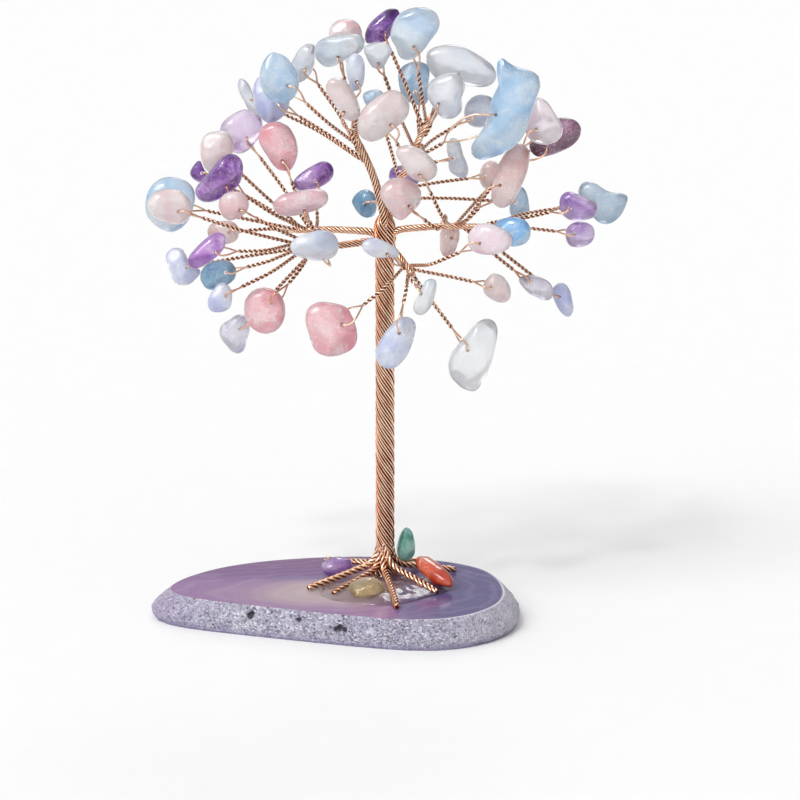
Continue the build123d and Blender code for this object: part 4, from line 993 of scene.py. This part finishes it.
        (-3.7, 0.9), (-2.3, 2.0), (-0.3, 1.9), (1.7, 0.9), (3.6, -0.8), (3.8, -1.6), (1.4, -2.0),
        (-1.3, -1.7), (-3.0,
        -0.6))),
    Chip(11, VIOLET, "pale", "left_back", (-29.0, 12.0, 22.6), 4.6, True, (
        (1.4, 4.3), (3.9, 3.2), (4.6, 0.2), (3.1, -2.5), (0.2, -4.6), (-2.3, -3.8), (-3.9, -1.5),
        (-3.6, 1.3), (-1.6,
        3.2))),
    Chip(12, ROSE, "deep", "left_back", (-20.7, -4.0, 22.3), 4.6, True, (
        (-1.1, 4.9), (1.3, 4.5), (3.1, 2.1), (3.8, -0.7), (3.1, -3.5), (1.9, -5.0), (-0.1, -4.6),
        (-2.4, -1.7), (-3.9,
        1.6), (-3.2, 3.8))),
    Chip(13, ROSE, "pale", "left_back", (-33.0, 3.0, 20.0), 4.4, True, (
        (-0.5, 4.0), (1.5, 4.0), (3.0, 2.3), (3.1, 0.0), (1.1, -3.0), (-1.2, -4.4), (-2.5, -3.3),
        (-3.4, -0.3), (-3.2,
        2.0), (-2.2, 3.5))),
    Chip(14, VIOLET, "deep", "left_back", (-37.3, 12.0, 14.3), 3.4, False, (
        (0.2, 2.2), (1.0, 0.8), (1.6, -0.7), (0.5, -2.1), (-1.3, -1.3), (-1.7, -0.7), (-1.2, 1.0))),
    Chip(15, VIOLET, "deep", "left_back", (-32.5, -3.0, 15.8), 4.8, True, (
        (1.5, 4.7), (3.2, 4.7), (4.6, 3.3), (4.7, 1.0), (3.9, -1.3), (1.5, -3.3), (-1.5, -4.7),
        (-4.0, -4.2), (-4.7,
        -2.5), (-3.1, -0.2), (-0.8, 2.7))),
    Chip(16, VIOLET, "deep", "left_back", (-14.3, 15.0, 12.8), 4.0, False, (
        (2.6, 3.0), (3.8, 1.9), (3.9, 0.2), (2.2, -1.7), (-0.1, -2.7), (-3.4, -2.8), (-4.2, -1.7),
        (-2.8, 0.5), (-0.1,
        2.3))),
    Chip(17, ROSE, "pink", "left_back", (-16.2, -9.0, 12.2), 4.0, False, (
        (-4.7, 1.3), (-1.1, 2.1), (3.3, 2.3), (5.2, 1.3), (5.2, -0.1), (3.6, -1.4), (-0.1, -2.3),
        (-3.7, -2.4), (-5.4,
        -1.2), (-5.5, 0.1))),
    Chip(19, AQUA, "ice", "left_back", (-42.3, 5.0, 9.2), 5.0, True, (
        (-2.7, 4.7), (-0.1, 5.3), (2.4, 4.7), (4.4, 2.7), (4.3, -1.0), (2.6, -4.3), (-0.1, -5.7),
        (-2.7, -4.8), (-5.0,
        -2.3), (-5.0, 1.7))),
    Chip(30, ROSE, "dusky", "left_back", (-32.6, 13.0, 1.7), 3.8, False, (
        (-2.4, 1.7), (-0.2, 2.3), (2.1, 2.1), (3.2, 0.5), (2.8, -1.4), (0.4, -2.4), (-2.2, -1.7),
        (-3.2, 0.1))),
    Chip(27, ROSE, "deep", "lower_right", (-10.3, -13.0, -12.3), 5.4, True, (
        (-4.7, 4.1), (-2.7, 5.4), (0.3, 5.2), (3.0, 4.2), (4.3, 1.9), (5.0, -0.8), (4.6, -3.1), (2.0, -4.9),
        (-1.0,
        -5.3), (-3.3, -4.1), (-4.5, -1.1), (-5.2, 1.6))),
    Chip(54, ROSE, "pale", "lower_right", (22.1, -4.0, -5.8), 4.0, True, (
        (-2.7, 0.2), (-1.8, 1.9), (-0.7, 2.7), (0.7, 2.4), (2.2, 0.9), (2.8, -1.1), (2.2, -2.7),
        (0.7, -3.1), (-1.3,
        -2.3), (-2.6, -0.9))),
    Chip(57, AQUA, "frost", "lower_right", (8.0, -15.0, -5.4), 3.2, True, (
        (-2.4, -2.6), (-1.8, -0.4), (-0.6, 1.9), (0.8, 3.5), (1.9, 3.3), (2.1, 1.8), (1.5, -0.6),
        (0.4, -2.6), (-1.3,
        -3.5))),
    Chip(58, LACE, "blue", "lower_right", (2.0, -12.0, -15.2), 4.4, True, (
        (-3.8, -2.5), (-3.3, -0.3), (-1.6, 2.4), (0.6, 4.6), (2.7, 5.0), (4.0, 3.9), (3.8, 1.0),
        (2.9, -1.6), (1.2,
        -4.0), (-0.6, -5.1), (-2.8, -4.5))),
    Chip(59, CLEAR, "ice", "lower_right", (17.2, -8.0, -18.5), 5.0, True, (
        (-1.4, 3.6), (0.6, 6.0), (2.5, 7.1), (4.1, 6.8), (5.0, 5.0), (4.6, 1.5), (3.6, -2.5), (2.1, -5.6),
        (0.5, -7.4),
        (-1.4, -7.0), (-3.9, -5.0), (-4.7, -2.5), (-4.1, 0.2))),
)

# The tints of each stone: plain, deep and pale
stone_tints = {
    (ROSE, "milky"): (tint(244, 216, 218), tint(238, 198, 203), tint(252, 239, 240)),
    (ROSE, "pale"): (tint(246, 230, 230), tint(238, 212, 213), tint(252, 246, 246)),
    (ROSE, "pink"): (tint(246, 208, 214), tint(241, 189, 198), tint(253, 236, 239)),
    (ROSE, "deep"): (tint(245, 184, 193), tint(238, 158, 170), tint(252, 220, 225)),
    (ROSE, "dusky"): (tint(242, 210, 208), tint(228, 184, 181), tint(250, 232, 230)),
    (ROSE, "lilac"): (tint(248, 228, 238), tint(240, 208, 224), tint(252, 243, 248)),
    (AQUA, "frost"): (tint(238, 244, 250), tint(220, 232, 243), tint(250, 252, 254)),
    (AQUA, "ice"): (tint(212, 231, 250), tint(184, 214, 242), tint(239, 248, 254)),
    (AQUA, "sky"): (tint(194, 222, 247), tint(162, 203, 238), tint(230, 243, 253)),
    (AQUA, "bright"): (tint(146, 204, 250), tint(112, 180, 242), tint(206, 234, 254)),
    (AQUA, "mist"): (tint(226, 235, 244), tint(206, 219, 231), tint(244, 248, 252)),
    (AQUA, "haze"): (tint(198, 216, 234), tint(168, 194, 217), tint(230, 240, 249)),
    (AQUA, "grey"): (tint(180, 207, 232), tint(150, 184, 214), tint(218, 234, 247)),
    (AQUA, "teal"): (tint(134, 186, 217), tint(94, 156, 195), tint(190, 223, 242)),
    (VIOLET, "deep"): (tint(134, 62, 174), tint(68, 18, 106), tint(214, 172, 240)),
    (VIOLET, "bright"): (tint(192, 122, 220), tint(138, 56, 182), tint(240, 214, 250)),
    (VIOLET, "plum"): (tint(124, 66, 104), tint(84, 36, 66), tint(184, 134, 168)),
    (VIOLET, "lilac"): (tint(194, 160, 220), tint(140, 92, 184), tint(240, 228, 248)),
    (VIOLET, "pale"): (tint(240, 218, 250), tint(220, 180, 240), tint(250, 242, 254)),
    (VIOLET, "smoke"): (tint(228, 226, 240), tint(204, 200, 222), tint(247, 246, 251)),
    (LACE, "pale"): (tint(234, 240, 255), tint(216, 225, 250), tint(249, 251, 255)),
    (LACE, "blue"): (tint(220, 227, 248), tint(195, 206, 237), tint(243, 247, 254)),
    (LACE, "grey"): (tint(212, 219, 237), tint(185, 197, 222), tint(238, 243, 251)),
    (LACE, "periwinkle"): (tint(210, 215, 244), tint(181, 188, 230), tint(239, 242, 253)),
    (CLEAR, "ice"): (tint(248, 249, 252), tint(235, 238, 243), tint(254, 254, 255)),
    (CLEAR, "haze"): (tint(244, 248, 255), tint(230, 236, 252), tint(253, 254, 255)),
    (CLEAR, "blush"): (tint(248, 238, 244), tint(232, 213, 223), tint(253, 249, 252)),
    (CLEAR, "grey"): (tint(231, 234, 243), tint(206, 212, 224), tint(248, 250, 254)),
    (CLEAR, "smoke"): (tint(216, 212, 226), tint(184, 177, 200), tint(242, 240, 248)),
}
# How each stone takes the light: fineness and strength of its veils and painted glints, clearness, milkiness,
# roughness, relief
stone_light = {
    ROSE: (380, 1.0, 0.42, 0.2, 0.16, 0.26),
    AQUA: (340, 0.9, 0.56, 0.12, 0.10, 0.30),
    VIOLET: (420, 0.8, 0.70, 0.0, 0.05, 0.34),
    LACE: (420, 0.8, 0.36, 0.25, 0.16, 0.24),
    CLEAR: (320, 1.0, 0.70, 0.1, 0.06, 0.34),
}


def square_to(direction, axis):
    return (direction - axis * direction.dot(axis)).normalized()


Place = namedtuple("Place", "share start run facing hole edge reach middle across up")


def set_out(chip):
    """Where a chip hangs: its twig's start and run, the way it faces, its hole and the reach of its loop."""
    base, tip = limb_ends(limbs[chip.limb])
    run = (tip - base).normalized()
    own = [other for other in chips if other.limb == chip.limb]
    own.sort(key=lambda other: (Vector(other.place) + Vector((0, 0,
        trunk_top)) - tip).normalized().dot(run))
    fork = limbs[chip.limb].fork
    share = fork + (1 - fork) * own.index(chip) / (len(own) - 1)
    middle = Vector(chip.place) + Vector((0, 0, trunk_top))
    on_limb = base + (tip - base) * share
    start = on_limb + square_to(middle - on_limb, run) * (0.9 * limb_r)
    way = middle - start
    run = Vector((way.x, 0.25 * way.y, way.z)).normalized()
    look = math.radians(14 * math.sin(2.4 * chip.number))
    facing = square_to(Vector((math.sin(look), -math.cos(look), 0.15)), run)
    across = square_to(Vector((1, 0, 0)), facing)
    up = facing.cross(across)
    edge = [across * x + up * y for x, y in smooth_ring(chip.outline, 180)]
    near = min(edge, key=lambda point: point.angle(-run)).length
    hole = middle - run * (hole_place * near)
    around = [middle + point - hole for point in edge]
    reach = max(point.length for point in around if math.degrees(point.angle(-run)) < swing + 14)
    return Place(share, start, run, facing, hole, (1 - hole_place) * near, reach, middle, across, up)


places = {chip.number: set_out(chip) for chip in chips}
drills, drilled = [], []
for chip in chips:
    place = places[chip.number]
    points, faces = tumbled_shape(chip.outline, chip.thick, chip.number)
    points = [place.middle + place.across * p.x + place.up * p.y + place.facing * p.z for p in points]
    base, deep, pale = stone_tints[chip.stone, chip.tint]
    veil_glint_size, veil_glint_strength, clear, milk, rough, facets = stone_light[chip.stone]
    finish = stone_finish("%s_%02d" % (chip.stone, chip.number), chip.number, base, deep, pale, veil_glint_size,
                          veil_glint_strength, clear, milk, rough,
                          facets)
    node = "%s_%02d" % (chip.stone, chip.number) if chip.loose else chip.stone + "_tied"
    piece = make_piece("chip_%02d_%s" % (chip.number, chip.stone), points, faces, [finish],
                       node if chip.loose else "tree", [node],
                       chip.stone)
    drill_points = []
    for end in (-1.5, 1.5):
        for k in range(hole_sides):
            turn = 2 * math.pi * k / hole_sides
            spot = place.hole + place.facing * (end * chip.thick) + (
                place.run * math.cos(turn) + place.facing.cross(place.run) * math.sin(turn)) * hole_r
            drill_points.append(tuple(0.001 * c for c in spot))
    lower, upper = range(hole_sides), range(hole_sides, 2 * hole_sides)
    drill_faces = [(k, (k + 1) % hole_sides, upper[(k + 1) % hole_sides], upper[k]) for k in lower]
    drill_faces += [tuple(reversed(lower)), tuple(upper)]
    drill_mesh = bpy.data.meshes.new("drill")
    drill_mesh.from_pydata(drill_points, [], drill_faces)
    drill_mesh.validate()
    drill = bpy.data.objects.new("drill", drill_mesh)
    bpy.context.collection.objects.link(drill)
    cut = piece.modifiers.new("drilled", "BOOLEAN")
    cut.operation = "DIFFERENCE"
    cut.solver = "EXACT"
    cut.object = drill
    drills.append(drill)
    drilled.append(piece)
bpy.context.view_layer.update()
view = bpy.context.evaluated_depsgraph_get()
for piece in drilled:
    bored = bpy.data.meshes.new_from_object(piece.evaluated_get(view))
    shell = bmesh.new()
    shell.from_mesh(bored)
    bmesh.ops.remove_doubles(shell, verts=shell.verts[:], dist=0.000002)
    bmesh.ops.triangulate(shell, faces=shell.faces[:])
    same_corners = {}
    # Faces that fold flat onto each other at the rim of the hole are taken out
    for face in shell.faces:
        same_corners.setdefault(frozenset(face.verts), []).append(face)
    folded = [face for faces in same_corners.values() if len(faces) > 1 for face in faces]
    bmesh.ops.delete(shell, geom=folded, context="FACES")
    shell.to_mesh(bored)
    shell.free()
    piece.modifiers.clear()
    piece.data = bored
    bored.shade_smooth()
    bored.set_sharp_from_angle(angle=math.radians(36))
for drill in drills:
    bpy.data.objects.remove(drill)

# Twigs
# One thin wire goes through each chip, is bent back over its edge on both sides and twisted with itself down
# to the limb. The pair shows as small beads, and the loop stays open by a little so that the chip can turn.
twig_wire = 0.20
twig_lay = 1.9
twig_step = 0.21
loop_clearance = 0.25
# Its bright and dark tints carry the painted highlight and the painted shade of the twisted pairs.
aged_copper = copper_finish("aged_copper", tint(134, 84, 62), tint(198, 138, 106), tint(252, 222, 198))

for name in limbs:
    axis = limb_axes[name]
    base, tip = limb_ends(limbs[name])
    coil = Coil()
    for chip in chips:
        if chip.limb != name:
            continue
        place = places[chip.number]
        side = 0.5 * chip.thick + loop_clearance + twig_wire
        near = twig_wire + 0.015
        room = (place.hole - place.start).dot(place.run)
        apex = min(place.reach + 0.35 * chip.thick + 0.6, max(place.edge + 0.3, room - 0.3))
        end = place.hole - place.run * apex
        elbow = end - place.run * min(0.45 * (end - place.start).length, 0.6 * max(0.0, room - apex))
        on_limb = base + (tip - base) * place.share
        nearest = int(np.argmin(np.linalg.norm(axis - np.array(on_limb), axis=1)))
        forward = place.run.dot((tip - base).normalized())
        foot = Vector(axis[max(0, nearest - int(1 + 5 * max(0.0, forward)))])
        stem = bent_path([foot, place.start, elbow, end] if room - apex > 0.5 else [foot, end], 0.45, twig_step)
        first, second = directions_along(stem)
        last = math.atan2(place.facing.dot(Vector(second[-1])), place.facing.dot(Vector(first[-1])))
        strands = []
        for half in (0, math.pi):
            strand = []
            for k, (spot, a, b) in enumerate(zip(stem, first, second)):
                turn = last + half + 2 * math.pi * (k - len(stem) + 1) * twig_step / twig_lay
                strand.append(spot + near * (math.cos(turn) * a + math.sin(turn) * b))
            strands.append(strand)

        def spot(along, out, aside):
            return place.hole + place.run * along + place.facing * out + place.facing.cross(place.run) * aside

        over = min(0.93 * place.reach, apex - 0.3)
        bow = 0.28 * place.reach * (1 if chip.number % 2 else -1) * (1 if room - apex > 0.5 else 0.2)
        loop = bent_path([
            spot(-apex, near, 0), spot(-apex + 0.35, near, 0), spot(-over, side + 0.05, 0.7 * bow),
            spot(-0.4 * place.reach, side + 0.12, bow), spot(0, side - 0.05, 0), spot(0, -side + 0.05, 0),
            spot(-0.4 * place.reach, -side - 0.12, -bow), spot(-over, -side - 0.05, -0.7 * bow),
            spot(-apex + 0.35, -near, 0), spot(-apex, -near, 0),
        ], 0.5, 0.3)
        # Each strand of the pair is painted darker towards the stem, painted shade in the twist, and lighter
        # outside, a painted highlight; the loop is not.
        coil.wire(strands[0] + [np.array(p) for p in loop[1:-1]] + strands[1][::-1], twig_wire, 6,
                  0.5 + 0.3 * noise.noise(Vector((chip.number * 2.9, 1.0, 6.0))),
                  list(stem) + list(loop[1:-1]) + list(stem[::-1]))
    make_piece("wires_" + name, coil.points, coil.faces, [aged_copper], "tree", ["twigs_" + name], "copper",
               shades=coil.shades)
